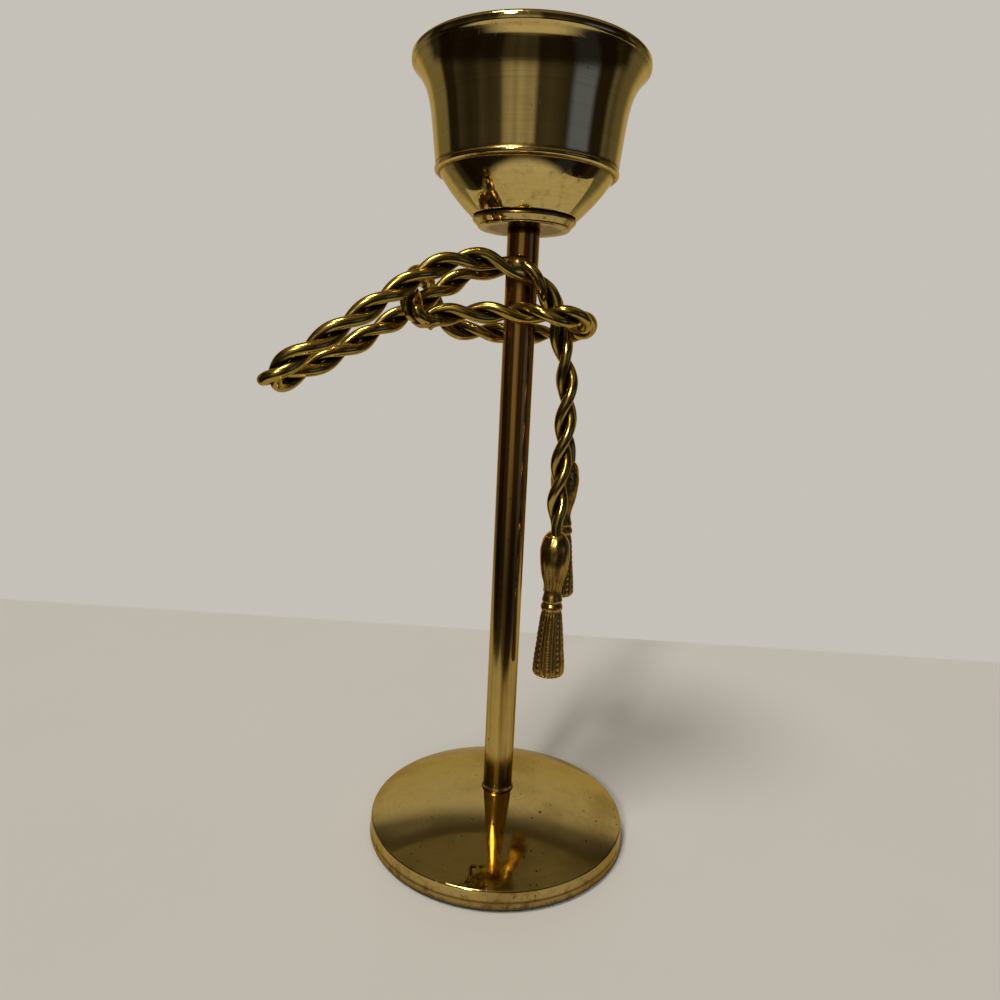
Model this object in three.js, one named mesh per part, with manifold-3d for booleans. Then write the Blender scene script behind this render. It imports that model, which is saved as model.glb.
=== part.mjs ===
// Brass candlestick: a domed foot, a tube stem and a turned cup pulled together by a rod through the stem,
// with a twisted wire rope tied round the stem and a tassel on each of its two hanging ends.
// Millimetres, +Z up. The origin is the centre of the resting face under the felt.
import * as THREE from "three";
import { mergeVertices } from "three/addons/utils/BufferGeometryUtils.js";
import Module from "manifold-3d";

const wasm = await Module();
wasm.setup();

// Clearances
const SLIP_GAP = 0.3;
const SOLDER_GAP = 0.3;
const WIRE_PAIR_GAP = 0.42;

// Felt pad
const FELT_THICKNESS = 1.2;
const FELT_INSET = 0.8;

// Base
const BASE_RADIUS = 50.8;
const BASE_BAND_HEIGHT = 6.8;
const BASE_BAND_TAPER = 0.55;
const BASE_DOME_RISE = 10.2;
const BASE_WALL = 2.2;
const BASE_SEAT_THICKNESS = 3;
const BASE_SEAT_MARGIN = 2;
const BASE_EDGE_ROUND = 0.6;

// Stem
const STEM_RADIUS = 5.8;
const STEM_BORE_RADIUS = 4.6;
const STEM_LENGTH = 215.2;
const STEM_FLARE = 0.35;
const STEM_FLARE_HEIGHT = 1.2;

// Disc under the cup
const DISC_HEIGHT = 3.4;
const DISC_BOTTOM_RADIUS = 16.5;
const DISC_TOP_RADIUS = 18.4;
const DISC_EDGE = 0.6;

// Cup
const GROOVE_RADIUS = 17.4;
const GROOVE_HEIGHT = 0.5;
const GROOVE_EDGE = 0.2;
const BOWL_BOTTOM_RADIUS = 18.9;
const BOWL_TOP_RADIUS = 30.4;
const BOWL_HEIGHT = 13.6;
const BOWL_BULGE = 0.9;
const LEDGE_RADIUS = 32.3;
const LEDGE_HEIGHT = 2.1;
const LEDGE_EDGE = 0.4;
const BELL_BOTTOM_RADIUS = 32;
const BELL_RADIUS_GAIN = 3.5;
const BELL_FLARE = 4.8;
const BELL_FLARE_POWER = 6;
const BELL_HEIGHT = 31.7;
const LIP_RADIUS = 40.9;
const LIP_HEIGHT = 3.4;
const CUP_WALL = 1.7;
const CUP_FLOOR = 4.4;

// Rod, washers and nuts
const ROD_RADIUS = 2.9;
const ROD_END_CHAMFER = 0.5;
const ROD_OVERHANG = 1.5;
const WASHER_RADIUS = 9;
const WASHER_THICKNESS = 1.2;
const NUT_ACROSS_FLATS = 10;
const NUT_HEIGHT = 5;

// Twisted wires
const WIRE_RADIUS = 1.75;
const WIRE_SIDES = 8;
const LONG_ROPE_LOOSENESS = 0.45;
const RING_ROPE_LOOSENESS = 0.25;
const LONG_ROPE_LAY = 29.6;
const RING_ROPE_LAY = 28.6;
const RING_ROPE_START_TURN = 1.85;
const LONG_ROPE_STEPS = 140;
const RING_ROPE_STEPS = 76;
const LONG_LAY_START = 1;
const LONG_LAY_RAMP = 6;
const RING_LAY_START = 0;
const RING_LAY_RAMP = 0.1;
const ROPE_STATION = 1.3;
const END_TIGHT_LENGTH = 8;
const KNOT_DROP = 28.3;

// The sizes for which the rope routes below are drawn
const DRAWN_STEM_RADIUS = 5.8;
const DRAWN_WIRE_RADIUS = 1.75;

// Tassels
const TASSEL_LENGTH = 55.7;
const TASSEL_TOP_RADIUS = 3.6;
const TASSEL_BULB_RADIUS = 5.5;
const TASSEL_NECK_RADIUS = 3.5;
const TASSEL_COLLAR_RADIUS = 4.2;
const TASSEL_SKIRT_TOP_RADIUS = 4.1;
const TASSEL_SKIRT_RADIUS = 6.3;
const TASSEL_FLUTES = 12;
const TASSEL_FLUTE_DEPTH = 0.35;

// Solder
const STEM_SOLDER_SIZE = [6.4, 4, 4.3];
const STEM_SOLDER_SIDE = 0.3;
const STEM_SOLDER_OUT = 0.9;
const STEM_SOLDER_HEIGHT = 14.8;
const RING_SOLDER_SIZE = [4.6, 3.4, 2.7];
const RING_SOLDER_DROP = 1.7;

// Counts of facets, and of points along a wire that are its own neighbours
const WIDE_FACETS = 48;
const ROD_FACETS = 32;
const LUMP_FACETS = 16;
const NEIGHBOUR_POINTS = 12;

// Places that follow from the sizes
const baseBottom = FELT_THICKNESS;
const creaseZ = baseBottom + BASE_BAND_HEIGHT;
const creaseRadius = BASE_RADIUS - BASE_BAND_TAPER;
const domeRadius = (creaseRadius ** 2 + BASE_DOME_RISE ** 2) / (2 * BASE_DOME_RISE);
const stemFootRadius = STEM_RADIUS + STEM_FLARE;
const seatZ = domeHeightAt(stemFootRadius);
const discZ = seatZ + STEM_LENGTH;
const cupZ = discZ + DISC_HEIGHT;
const cupFloorZ = cupZ + CUP_FLOOR;
const ledgeZ = cupZ + GROOVE_HEIGHT + BOWL_HEIGHT;
const bellZ = ledgeZ + LEDGE_HEIGHT;
const lipZ = bellZ + BELL_HEIGHT;
const rodHoleRadius = ROD_RADIUS + SLIP_GAP;
const cupNutZ = cupFloorZ + WASHER_THICKNESS;
const seatUndersideZ = seatZ - BASE_SEAT_THICKNESS;
const baseWasherZ = seatUndersideZ - WASHER_THICKNESS;
const baseNutZ = baseWasherZ - NUT_HEIGHT;
const knotZ = discZ - KNOT_DROP;
const tightHelixRadius = WIRE_RADIUS + WIRE_PAIR_GAP / 2;
const wireScale = WIRE_RADIUS / DRAWN_WIRE_RADIUS;

// Centre line of the long rope, from the front tassel over the stem's front to the left end,
// back behind the stem and down to the rear tassel; the last number is the height above the knot
const LONG_ROPE_ROUTE = [
  [17.6, -5, -79.7],
  [17.4, -5, -67.5],
  [18, -5, -52.5],
  [18.5, -5, -37.8],
  [18.3, -5, -22.8],
  [15.3, -5, -9.5],
  [12.4, -5.8, -0.2],
  [9.2, -8.2, 6.8],
  [4.6, -9.9, 11.6],
  [-1, -10.2, 14],
  [-7.3, -10.7, 15.4],
  [-14.4, -13.4, 16.2],
  [-25.5, -20.4, 13.2],
  [-36.4, -28.6, 5.3],
  [-46.1, -35.8, -2.8],
  [-56.1, -41.6, -11],
  [-64.4, -46, -17.6],
  [-71, -48.4, -22.6],
  [-75.2, -47, -25.8],
  [-76.4, -42.6, -27.6],
  [-74.2, -38.4, -27.2],
  [-69.5, -35.6, -24.8],
  [-63, -31.8, -20.6],
  [-55.4, -26.9, -15.5],
  [-46.1, -19.5, -8.2],
  [-37.2, -10.3, -1.1],
  [-29, -1.6, 6],
  [-20.6, 5.4, 12.6],
  [-9.5, 9.7, 16.2],
  [0, 10.1, 15.5],
  [8.4, 10.3, 9.5],
  [13, 11, 1.5],
  [16.2, 12, -9],
  [18.9, 14.5, -29],
  [20.1, 18.2, -43],
  [20.5, 19.5, -51.5],
  [20.5, 19.6, -55.2],
];

// Centre line of the short rope, from its solder joint in front past the stem, round both hanging ends,
// back behind the stem, up and over the long rope and down to the joint again
const RING_ROPE_ROUTE = [
  [-29.6, -18.5, -4.5],
  [-26.8, -16.6, -3.5],
  [-22.6, -14.6, -2.5],
  [-15.1, -12.8, -1.8],
  [-6.5, -11, -1.2],
  [1.1, -11, -1],
  [9.2, -13.9, -1.4],
  [15.6, -14.3, -1.8],
  [21, -10.6, -2.2],
  [23.9, -2, -3],
  [24.5, 8.1, -4.2],
  [21.9, 18.6, -5.4],
  [14, 22, -6.2],
  [4, 17, -6.8],
  [-5, 12.4, -7.2],
  [-15, 12, -6.8],
  [-23.5, 12.6, -6.4],
  [-29.6, 13, -3.8],
  [-32.8, 12.4, 0.8],
  [-34.4, 9.5, 5.8],
  [-35.6, 3, 10],
  [-36.4, -5, 10.8],
  [-36.6, -12.5, 8.5],
  [-36.3, -18.2, 4.6],
  [-36, -21.2, 0.8],
  [-35.2, -22.4, -2.3],
  [-33.4, -21.8, -4.3],
  [-31, -19.8, -4.8],
];

// Metal and cloth

function polishedBrass() {
  return new THREE.MeshStandardMaterial({ color: 0xa8893c, roughness: 0.18, metalness: 1 });
}

function castBrass() {
  return new THREE.MeshStandardMaterial({ color: 0x8a6428, roughness: 0.32, metalness: 1 });
}

function hardSolder() {
  return new THREE.MeshStandardMaterial({ color: 0xb89b52, roughness: 0.3, metalness: 1 });
}

function platedSteel() {
  return new THREE.MeshStandardMaterial({ color: 0x9a9a96, roughness: 0.4, metalness: 1 });
}

function greenFelt() {
  return new THREE.MeshStandardMaterial({ color: 0x24402f, roughness: 1, metalness: 0 });
}

// Helpers for solids

function named(name, geometry, material) {
  const mesh = new THREE.Mesh(geometry, material);
  mesh.name = name;
  return mesh;
}

// A turned solid round +Z from a closed outline of [radius, height] points
function turned(outline, facets) {
  const points = outline.map(([radius, height]) => new THREE.Vector2(radius, height));
  if (THREE.ShapeUtils.area(points) < 0) {
    points.reverse();
  }
  points.push(points[0].clone());
  const geometry = new THREE.LatheGeometry(points, facets);
  geometry.rotateX(Math.PI / 2);
  return geometry;
}

function toManifold(geometry) {
  const bare = geometry.clone();
  bare.deleteAttribute("normal");
  bare.deleteAttribute("uv");
  const welded = mergeVertices(bare, 1e-4);
  const mesh = new wasm.Mesh({
    numProp: 3,
    vertProperties: new Float32Array(welded.attributes.position.array),
    triVerts: new Uint32Array(welded.index.array),
  });
  return new wasm.Manifold(mesh);
}

function fromManifold(solid) {
  const mesh = solid.getMesh();
  const geometry = new THREE.BufferGeometry();
  geometry.setAttribute("position", new THREE.BufferAttribute(mesh.vertProperties, 3));
  geometry.setIndex(new THREE.BufferAttribute(mesh.triVerts, 1));
  geometry.computeVertexNormals();
  return geometry;
}

function subtractAll(geometry, cutters) {
  const cut = cutters.reduce((solid, cutter) => solid.subtract(toManifold(cutter)), toManifold(geometry));
  return fromManifold(cut);
}

// Base, felt and stem

function domeHeightAt(radius) {
  return creaseZ + BASE_DOME_RISE - domeRadius + Math.sqrt(domeRadius ** 2 - radius ** 2);
}

function makeFelt() {
  const radius = BASE_RADIUS - FELT_INSET;
  const geometry = new THREE.CylinderGeometry(radius, radius, FELT_THICKNESS, WIDE_FACETS);
  geometry.rotateX(Math.PI / 2);
  geometry.translate(0, 0, FELT_THICKNESS / 2);
  return named("felt_pad", geometry, greenFelt());
}

function makeBase() {
  const domeParts = 7;
  const innerRadius = BASE_RADIUS - BASE_WALL;
  const seatRimRadius = WASHER_RADIUS + BASE_SEAT_MARGIN;
  const outer = [[rodHoleRadius, seatZ], [stemFootRadius + SLIP_GAP, seatZ]];
  for (let i = 1; i < domeParts; i++) {
    const radius = stemFootRadius + ((creaseRadius - stemFootRadius) * i) / domeParts;
    outer.push([radius, domeHeightAt(radius)]);
  }
  outer.push([creaseRadius - BASE_EDGE_ROUND, domeHeightAt(creaseRadius - BASE_EDGE_ROUND)]);
  outer.push([creaseRadius, creaseZ - BASE_EDGE_ROUND / 2]);
  outer.push([BASE_RADIUS, baseBottom + BASE_EDGE_ROUND]);
  outer.push([BASE_RADIUS - BASE_EDGE_ROUND, baseBottom]);
  const inner = [[innerRadius, baseBottom], [innerRadius - BASE_BAND_TAPER, creaseZ - BASE_WALL]];
  for (let i = domeParts - 2; i > 1; i--) {
    const radius = (innerRadius * i) / domeParts;
    inner.push([radius, domeHeightAt(radius) - BASE_WALL]);
  }
  inner.push([seatRimRadius, domeHeightAt(seatRimRadius) - BASE_WALL]);
  inner.push([seatRimRadius, seatUndersideZ]);
  inner.push([rodHoleRadius, seatUndersideZ]);
  return named("base", turned([...outer, ...inner], WIDE_FACETS), polishedBrass());
}

function makeStem() {
  const outline = [
    [STEM_BORE_RADIUS, seatZ],
    [stemFootRadius, seatZ],
    [stemFootRadius, seatZ + STEM_FLARE_HEIGHT / 2],
    [STEM_RADIUS, seatZ + STEM_FLARE_HEIGHT],
    [STEM_RADIUS, discZ],
    [STEM_BORE_RADIUS, discZ],
  ];
  return named("stem_tube", turned(outline, ROD_FACETS), polishedBrass());
}

// Disc and cup

function makeCupFoot() {
  const outline = [
    [rodHoleRadius, discZ],
    [DISC_BOTTOM_RADIUS - DISC_EDGE / 2, discZ],
    [DISC_BOTTOM_RADIUS, discZ + DISC_EDGE / 2],
    [DISC_TOP_RADIUS, cupZ - DISC_EDGE],
    [DISC_TOP_RADIUS - DISC_EDGE / 3, cupZ],
    [rodHoleRadius, cupZ],
  ];
  return named("cup_foot", turned(outline, WIDE_FACETS), polishedBrass());
}

function bowlRadiusAt(share) {
  const straight = BOWL_BOTTOM_RADIUS + (BOWL_TOP_RADIUS - BOWL_BOTTOM_RADIUS) * share;
  return straight + 4 * BOWL_BULGE * share * (1 - share);
}

function bellRadiusAt(share) {
  return BELL_BOTTOM_RADIUS + BELL_RADIUS_GAIN * share + BELL_FLARE * share ** BELL_FLARE_POWER;
}

function cupOuterOutline() {
  const bowlZ = cupZ + GROOVE_HEIGHT;
  const beadZ = ledgeZ + LEDGE_EDGE;
  const bead = LEDGE_HEIGHT - LEDGE_EDGE;
  const points = [[rodHoleRadius, cupZ], [GROOVE_RADIUS, cupZ], [GROOVE_RADIUS, bowlZ - GROOVE_EDGE]];
  for (const share of [0, 0.25, 0.5, 0.75, 1]) {
    points.push([bowlRadiusAt(share), bowlZ + BOWL_HEIGHT * share]);
  }
  points.push([LEDGE_RADIUS - LEDGE_EDGE, beadZ]);
  points.push([LEDGE_RADIUS, beadZ + bead / 3]);
  points.push([LEDGE_RADIUS, beadZ + (2 * bead) / 3]);
  for (const share of [0, 0.4, 0.7, 0.88, 1]) {
    points.push([bellRadiusAt(share), bellZ + BELL_HEIGHT * share]);
  }
  const round = LIP_HEIGHT / 4;
  points.push([LIP_RADIUS, lipZ + round / 2]);
  points.push([LIP_RADIUS, lipZ + LIP_HEIGHT - round]);
  points.push([LIP_RADIUS - round, lipZ + LIP_HEIGHT]);
  return points;
}

function cupInnerOutline() {
  const points = [[LIP_RADIUS - CUP_WALL, lipZ + LIP_HEIGHT]];
  for (const share of [0.97, 0.82, 0.5, 0]) {
    points.push([bellRadiusAt(share) - CUP_WALL, bellZ + BELL_HEIGHT * share]);
  }
  const bowlZ = cupZ + GROOVE_HEIGHT;
  for (const share of [0.8, 0.45]) {
    points.push([bowlRadiusAt(share) - CUP_WALL, bowlZ + BOWL_HEIGHT * share]);
  }
  points.push([BOWL_BOTTOM_RADIUS - CUP_WALL, cupFloorZ]);
  points.push([rodHoleRadius, cupFloorZ]);
  return points;
}

function makeCup() {
  return named("cup", turned([...cupOuterOutline(), ...cupInnerOutline()], WIDE_FACETS), polishedBrass());
}

// Rod, washers and nuts

function makeRod() {
  const top = cupNutZ + NUT_HEIGHT + ROD_OVERHANG;
  const bottom = baseNutZ - ROD_OVERHANG;
  const outline = [
    [0, bottom],
    [ROD_RADIUS - ROD_END_CHAMFER, bottom],
    [ROD_RADIUS, bottom + ROD_END_CHAMFER],
    [ROD_RADIUS, top - ROD_END_CHAMFER],
    [ROD_RADIUS - ROD_END_CHAMFER, top],
    [0, top],
  ];
  const points = outline.map(([radius, height]) => new THREE.Vector2(radius, height));
  const geometry = new THREE.LatheGeometry(points, ROD_FACETS / 2);
  geometry.rotateX(Math.PI / 2);
  return named("tie_rod", geometry, platedSteel());
}

function makeWasher(name, bottomZ) {
  const outline = [
    [rodHoleRadius, bottomZ],
    [WASHER_RADIUS, bottomZ],
    [WASHER_RADIUS, bottomZ + WASHER_THICKNESS],
    [rodHoleRadius, bottomZ + WASHER_THICKNESS],
  ];
  return named(name, turned(outline, ROD_FACETS), platedSteel());
}

function makeNut(name, bottomZ) {
  const corner = NUT_ACROSS_FLATS / Math.sqrt(3);
  const hexagon = new THREE.Shape();
  for (let i = 0; i < 6; i++) {
    const angle = (i * Math.PI) / 3;
    hexagon[i ? "lineTo" : "moveTo"](corner * Math.cos(angle), corner * Math.sin(angle));
  }
  const hole = new THREE.Path();
  hole.absarc(0, 0, rodHoleRadius, 0, 2 * Math.PI, true);
  hexagon.holes.push(hole);
  const options = { depth: NUT_HEIGHT, bevelEnabled: false, curveSegments: ROD_FACETS / 4 };
  const geometry = new THREE.ExtrudeGeometry(hexagon, options);
  geometry.translate(0, 0, bottomZ);
  return named(name, geometry, platedSteel());
}

// Twisted wires

function routeCurve(route) {
  const points = route.map(([x, y, rise]) => {
    const distance = Math.hypot(x, y);
    const placed = STEM_RADIUS + (distance - DRAWN_STEM_RADIUS) * wireScale;
    return new THREE.Vector3((x * placed) / distance, (y * placed) / distance, knotZ + rise * wireScale);
  });
  const curve = new THREE.CatmullRomCurve3(points, false, "centripetal");
  curve.arcLengthDivisions = 2000;
  return curve;
}

function smoothShare(share) {
  const held = THREE.MathUtils.clamp(share, 0, 1);
  return held * held * (3 - 2 * held);
}

// Length of lay reached at a distance from an end, where the wires start to twist gently
function laidLength(distance, start, ramp) {
  if (distance <= start) {
    return 0;
  }
  if (distance < start + ramp) {
    return (distance - start) ** 2 / (2 * ramp);
  }
  return distance - start - ramp / 2;
}

// The two wires of a rope: each point lies on a helix round the route, the second half a turn on
function makeStrands(curve, rope) {
  const length = curve.getLength();
  const stations = Math.round(length / ROPE_STATION);
  const frames = curve.computeFrenetFrames(stations, false);
  const helixRadius = tightHelixRadius + rope.looseness;
  const fullLay = length - 2 * rope.start - rope.ramp;
  return [0, Math.PI].map((offset) => {
    const points = Array.from({ length: stations + 1 }, (_, i) => {
      const along = (length * i) / stations;
      const back = length - along;
      const laid = along < back
        ? laidLength(along, rope.start, rope.ramp)
        : fullLay - laidLength(back, rope.start, rope.ramp);
      const angle = rope.turn + (2 * Math.PI * laid) / rope.lay + offset;
      const opened = smoothShare(Math.min(along, back) / END_TIGHT_LENGTH);
      const radius = THREE.MathUtils.lerp(tightHelixRadius, helixRadius, opened);
      const point = curve.getPointAt(i / stations);
      point.addScaledVector(frames.normals[i], radius * Math.cos(angle));
      point.addScaledVector(frames.binormals[i], radius * Math.sin(angle));
      return point;
    });
    return points;
  });
}

function wireSection(radius) {
  const corners = Array.from({ length: WIRE_SIDES }, (_, i) => {
    const angle = (2 * Math.PI * i) / WIRE_SIDES;
    return new THREE.Vector2(radius * Math.cos(angle), radius * Math.sin(angle));
  });
  return new THREE.Shape(corners);
}

function sweepWire(points, radius, steps) {
  const path = new THREE.CatmullRomCurve3(points, false, "centripetal");
  path.arcLengthDivisions = 2 * points.length;
  return new THREE.ExtrudeGeometry(wireSection(radius), { steps, extrudePath: path });
}

// Least gap between two wires, or of a wire to itself, leaving out points nearer along it than skip
function leastGap(pointsA, pointsB, skip) {
  let least = Infinity;
  pointsA.forEach((a, i) => {
    pointsB.forEach((b, j) => {
      if (Math.abs(i - j) >= skip) {
        least = Math.min(least, a.distanceTo(b));
      }
    });
  });
  return least - 2 * WIRE_RADIUS;
}

// The stretches of a wire's points that lie within reach of a centre, each long enough to sweep along
function stretchNear(points, centre, reach) {
  const fewest = 4;
  const near = points.map((point, i) => (point.distanceTo(centre) < reach ? i : -1)).filter((i) => i >= 0);
  const stretches = [];
  for (const i of near) {
    const last = stretches[stretches.length - 1];
    if (last && i === last[last.length - 1] + 1) {
      last.push(i);
    } else {
      stretches.push([i]);
    }
  }
  return stretches.filter((run) => run.length >= fewest).map((run) => run.map((i) => points[i]));
}

// Solder

// A lump round a joint: an ellipsoid that leaves room for every wire that runs through it
function solderLump(name, centre, size, strands, otherCutters) {
  const lump = new THREE.SphereGeometry(1, LUMP_FACETS, LUMP_FACETS / 2);
  lump.scale(...size);
  lump.translate(centre.x, centre.y, centre.z);
  const reach = Math.max(...size) + 2 * WIRE_RADIUS;
  const cutRadius = WIRE_RADIUS + SOLDER_GAP;
  const grooves = strands.flatMap((points) => stretchNear(points, centre, reach))
    .map((run) => sweepWire(run, cutRadius, run.length));
  return named(name, subtractAll(lump, [...grooves, ...otherCutters]), hardSolder());
}

// A bar along the stem, longer than the lump that it passes through
function stemClearance(centreZ) {
  const radius = STEM_RADIUS + SOLDER_GAP;
  const geometry = new THREE.CylinderGeometry(radius, radius, 4 * STEM_SOLDER_SIZE[2], ROD_FACETS);
  geometry.rotateX(Math.PI / 2);
  geometry.translate(0, 0, centreZ);
  return geometry;
}

// Tassels

// A cast tassel hanging down from its top: a fluted bulb, a neck with a collar and a fluted skirt
function makeTassel(name, top) {
  const across = TASSEL_FLUTES * 4;
  const rows = [
    [0, 0, 0],
    [0, 0.55 * TASSEL_TOP_RADIUS, 0],
    [0.3, 0.9 * TASSEL_TOP_RADIUS, 0],
    [1.6, 0.8 * TASSEL_BULB_RADIUS, 0.3],
    [4.5, 0.95 * TASSEL_BULB_RADIUS, 0.5],
    [10.5, TASSEL_BULB_RADIUS, 0.5],
    [17, 0.86 * TASSEL_BULB_RADIUS, 1],
    [22, TASSEL_NECK_RADIUS, 0.8],
    [24.6, TASSEL_NECK_RADIUS, 0],
    [25.6, TASSEL_COLLAR_RADIUS, 0],
    [29, TASSEL_COLLAR_RADIUS, 0],
    [30.2, TASSEL_SKIRT_TOP_RADIUS, 0.6],
    [42, 0.5 * (TASSEL_SKIRT_TOP_RADIUS + TASSEL_SKIRT_RADIUS), 1],
    [53.6, TASSEL_SKIRT_RADIUS, 1],
    [55.2, 0.87 * TASSEL_SKIRT_RADIUS, 0.6],
    [55.7, 0.6 * TASSEL_SKIRT_RADIUS, 0],
    [55.7, 0, 0],
  ];
  const drawnLength = rows[rows.length - 1][0];
  const outline = rows.map(([down, radius]) => {
    return new THREE.Vector2(radius, top.z - (down * TASSEL_LENGTH) / drawnLength);
  });
  outline.reverse();
  rows.reverse();
  const geometry = new THREE.LatheGeometry(outline, across);
  const position = geometry.attributes.position;
  for (let i = 0; i < position.count; i++) {
    const column = Math.floor(i / rows.length);
    const flute = 0.5 - 0.5 * Math.cos((2 * Math.PI * column * TASSEL_FLUTES) / across);
    const depth = TASSEL_FLUTE_DEPTH * rows[i % rows.length][2] * flute;
    const radius = Math.hypot(position.getX(i), position.getZ(i));
    const share = radius > depth ? (radius - depth) / radius : 1;
    position.setX(i, position.getX(i) * share);
    position.setZ(i, position.getZ(i) * share);
  }
  geometry.rotateX(Math.PI / 2);
  geometry.translate(top.x, top.y, 0);
  return named(name, geometry, castBrass());
}

// Assembly

const longCurve = routeCurve(LONG_ROPE_ROUTE);
const ringCurve = routeCurve(RING_ROPE_ROUTE);
const longStrands = makeStrands(longCurve, {
  start: LONG_LAY_START,
  ramp: LONG_LAY_RAMP,
  looseness: LONG_ROPE_LOOSENESS * wireScale,
  lay: LONG_ROPE_LAY,
  turn: 0,
});
const ringStrands = makeStrands(ringCurve, {
  start: RING_LAY_START,
  ramp: RING_LAY_RAMP,
  looseness: RING_ROPE_LOOSENESS * wireScale,
  lay: RING_ROPE_LAY,
  turn: RING_ROPE_START_TURN,
});
const everyStrand = [...longStrands, ...ringStrands];

console.log("least gap between the wires of the long rope", leastGap(...longStrands, 0).toFixed(2));
console.log("least gap between the wires of the short rope", leastGap(...ringStrands, 0).toFixed(2));
for (const [i, points] of longStrands.entries()) {
  console.log("least gap of long wire", i + 1, "to itself", leastGap(points, points, NEIGHBOUR_POINTS).toFixed(2));
  for (const other of ringStrands) {
    console.log("  and to a wire of the short rope", leastGap(points, other, 0).toFixed(2));
  }
}

const frontTop = longCurve.getPointAt(0);
const rearTop = longCurve.getPointAt(1);
frontTop.z -= SLIP_GAP;
rearTop.z -= SLIP_GAP;
const stemJoint = new THREE.Vector3(
  STEM_SOLDER_SIDE,
  -(STEM_RADIUS + tightHelixRadius + STEM_SOLDER_OUT),
  knotZ + STEM_SOLDER_HEIGHT * wireScale,
);
const ringJoint = ringCurve.getPointAt(0).lerp(ringCurve.getPointAt(1), 0.5);
ringJoint.z -= RING_SOLDER_DROP;

const candlestick = new THREE.Group();
candlestick.add(
  makeFelt(),
  makeBase(),
  makeStem(),
  makeCupFoot(),
  makeCup(),
  makeRod(),
  makeWasher("base_washer", baseWasherZ),
  makeNut("base_nut", baseNutZ),
  makeWasher("cup_washer", cupFloorZ),
  makeNut("cup_nut", cupNutZ),
  named("long_wire_a", sweepWire(longStrands[0], WIRE_RADIUS, LONG_ROPE_STEPS), polishedBrass()),
  named("long_wire_b", sweepWire(longStrands[1], WIRE_RADIUS, LONG_ROPE_STEPS), polishedBrass()),
  named("ring_wire_a", sweepWire(ringStrands[0], WIRE_RADIUS, RING_ROPE_STEPS), polishedBrass()),
  named("ring_wire_b", sweepWire(ringStrands[1], WIRE_RADIUS, RING_ROPE_STEPS), polishedBrass()),
  solderLump("solder_stem", stemJoint, STEM_SOLDER_SIZE, everyStrand, [stemClearance(stemJoint.z)]),
  solderLump("solder_ring", ringJoint, RING_SOLDER_SIZE, everyStrand, []),
  makeTassel("front_tassel", frontTop),
  makeTassel("rear_tassel", rearTop),
);

export default candlestick;
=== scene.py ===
"""Brass candlestick with a twisted wire rope and tassels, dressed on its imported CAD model."""

import math

import bpy
import numpy as np
from bpy.props import FloatProperty, FloatVectorProperty, IntProperty, PointerProperty
from bpy.types import Operator, Panel, PropertyGroup
from mathutils import Matrix, Vector


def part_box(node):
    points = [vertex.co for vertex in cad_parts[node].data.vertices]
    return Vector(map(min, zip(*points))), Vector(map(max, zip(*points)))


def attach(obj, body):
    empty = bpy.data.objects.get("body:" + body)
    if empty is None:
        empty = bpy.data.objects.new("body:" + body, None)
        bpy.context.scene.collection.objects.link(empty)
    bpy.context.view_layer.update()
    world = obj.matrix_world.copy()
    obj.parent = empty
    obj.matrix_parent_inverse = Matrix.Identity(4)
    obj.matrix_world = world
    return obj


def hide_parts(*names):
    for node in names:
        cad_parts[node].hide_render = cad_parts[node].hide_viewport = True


bl_info = {
    "name": "Brass Candlestick",
    "version": (1, 0, 0),
    "blender": (4, 5, 0),
    "location": "3D View > Sidebar > Candlestick",
    "description": "Builds the brass, wire, cast and felt surfaces of a candlestick with a rope and tassels",
    "category": "Add Mesh",
}

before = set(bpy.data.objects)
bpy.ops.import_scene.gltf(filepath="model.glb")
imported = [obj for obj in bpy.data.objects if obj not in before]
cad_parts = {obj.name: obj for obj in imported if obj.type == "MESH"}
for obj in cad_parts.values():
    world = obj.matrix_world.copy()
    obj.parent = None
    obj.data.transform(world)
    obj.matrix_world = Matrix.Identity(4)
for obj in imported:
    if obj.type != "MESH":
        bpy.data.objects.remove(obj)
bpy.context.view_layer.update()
MM = 0.001


def box_mm(node):
    """Lowest and highest corners of a solid of the model, in millimetres."""
    return tuple(np.array(corner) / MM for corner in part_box(node))


# Sizes and colours

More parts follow.
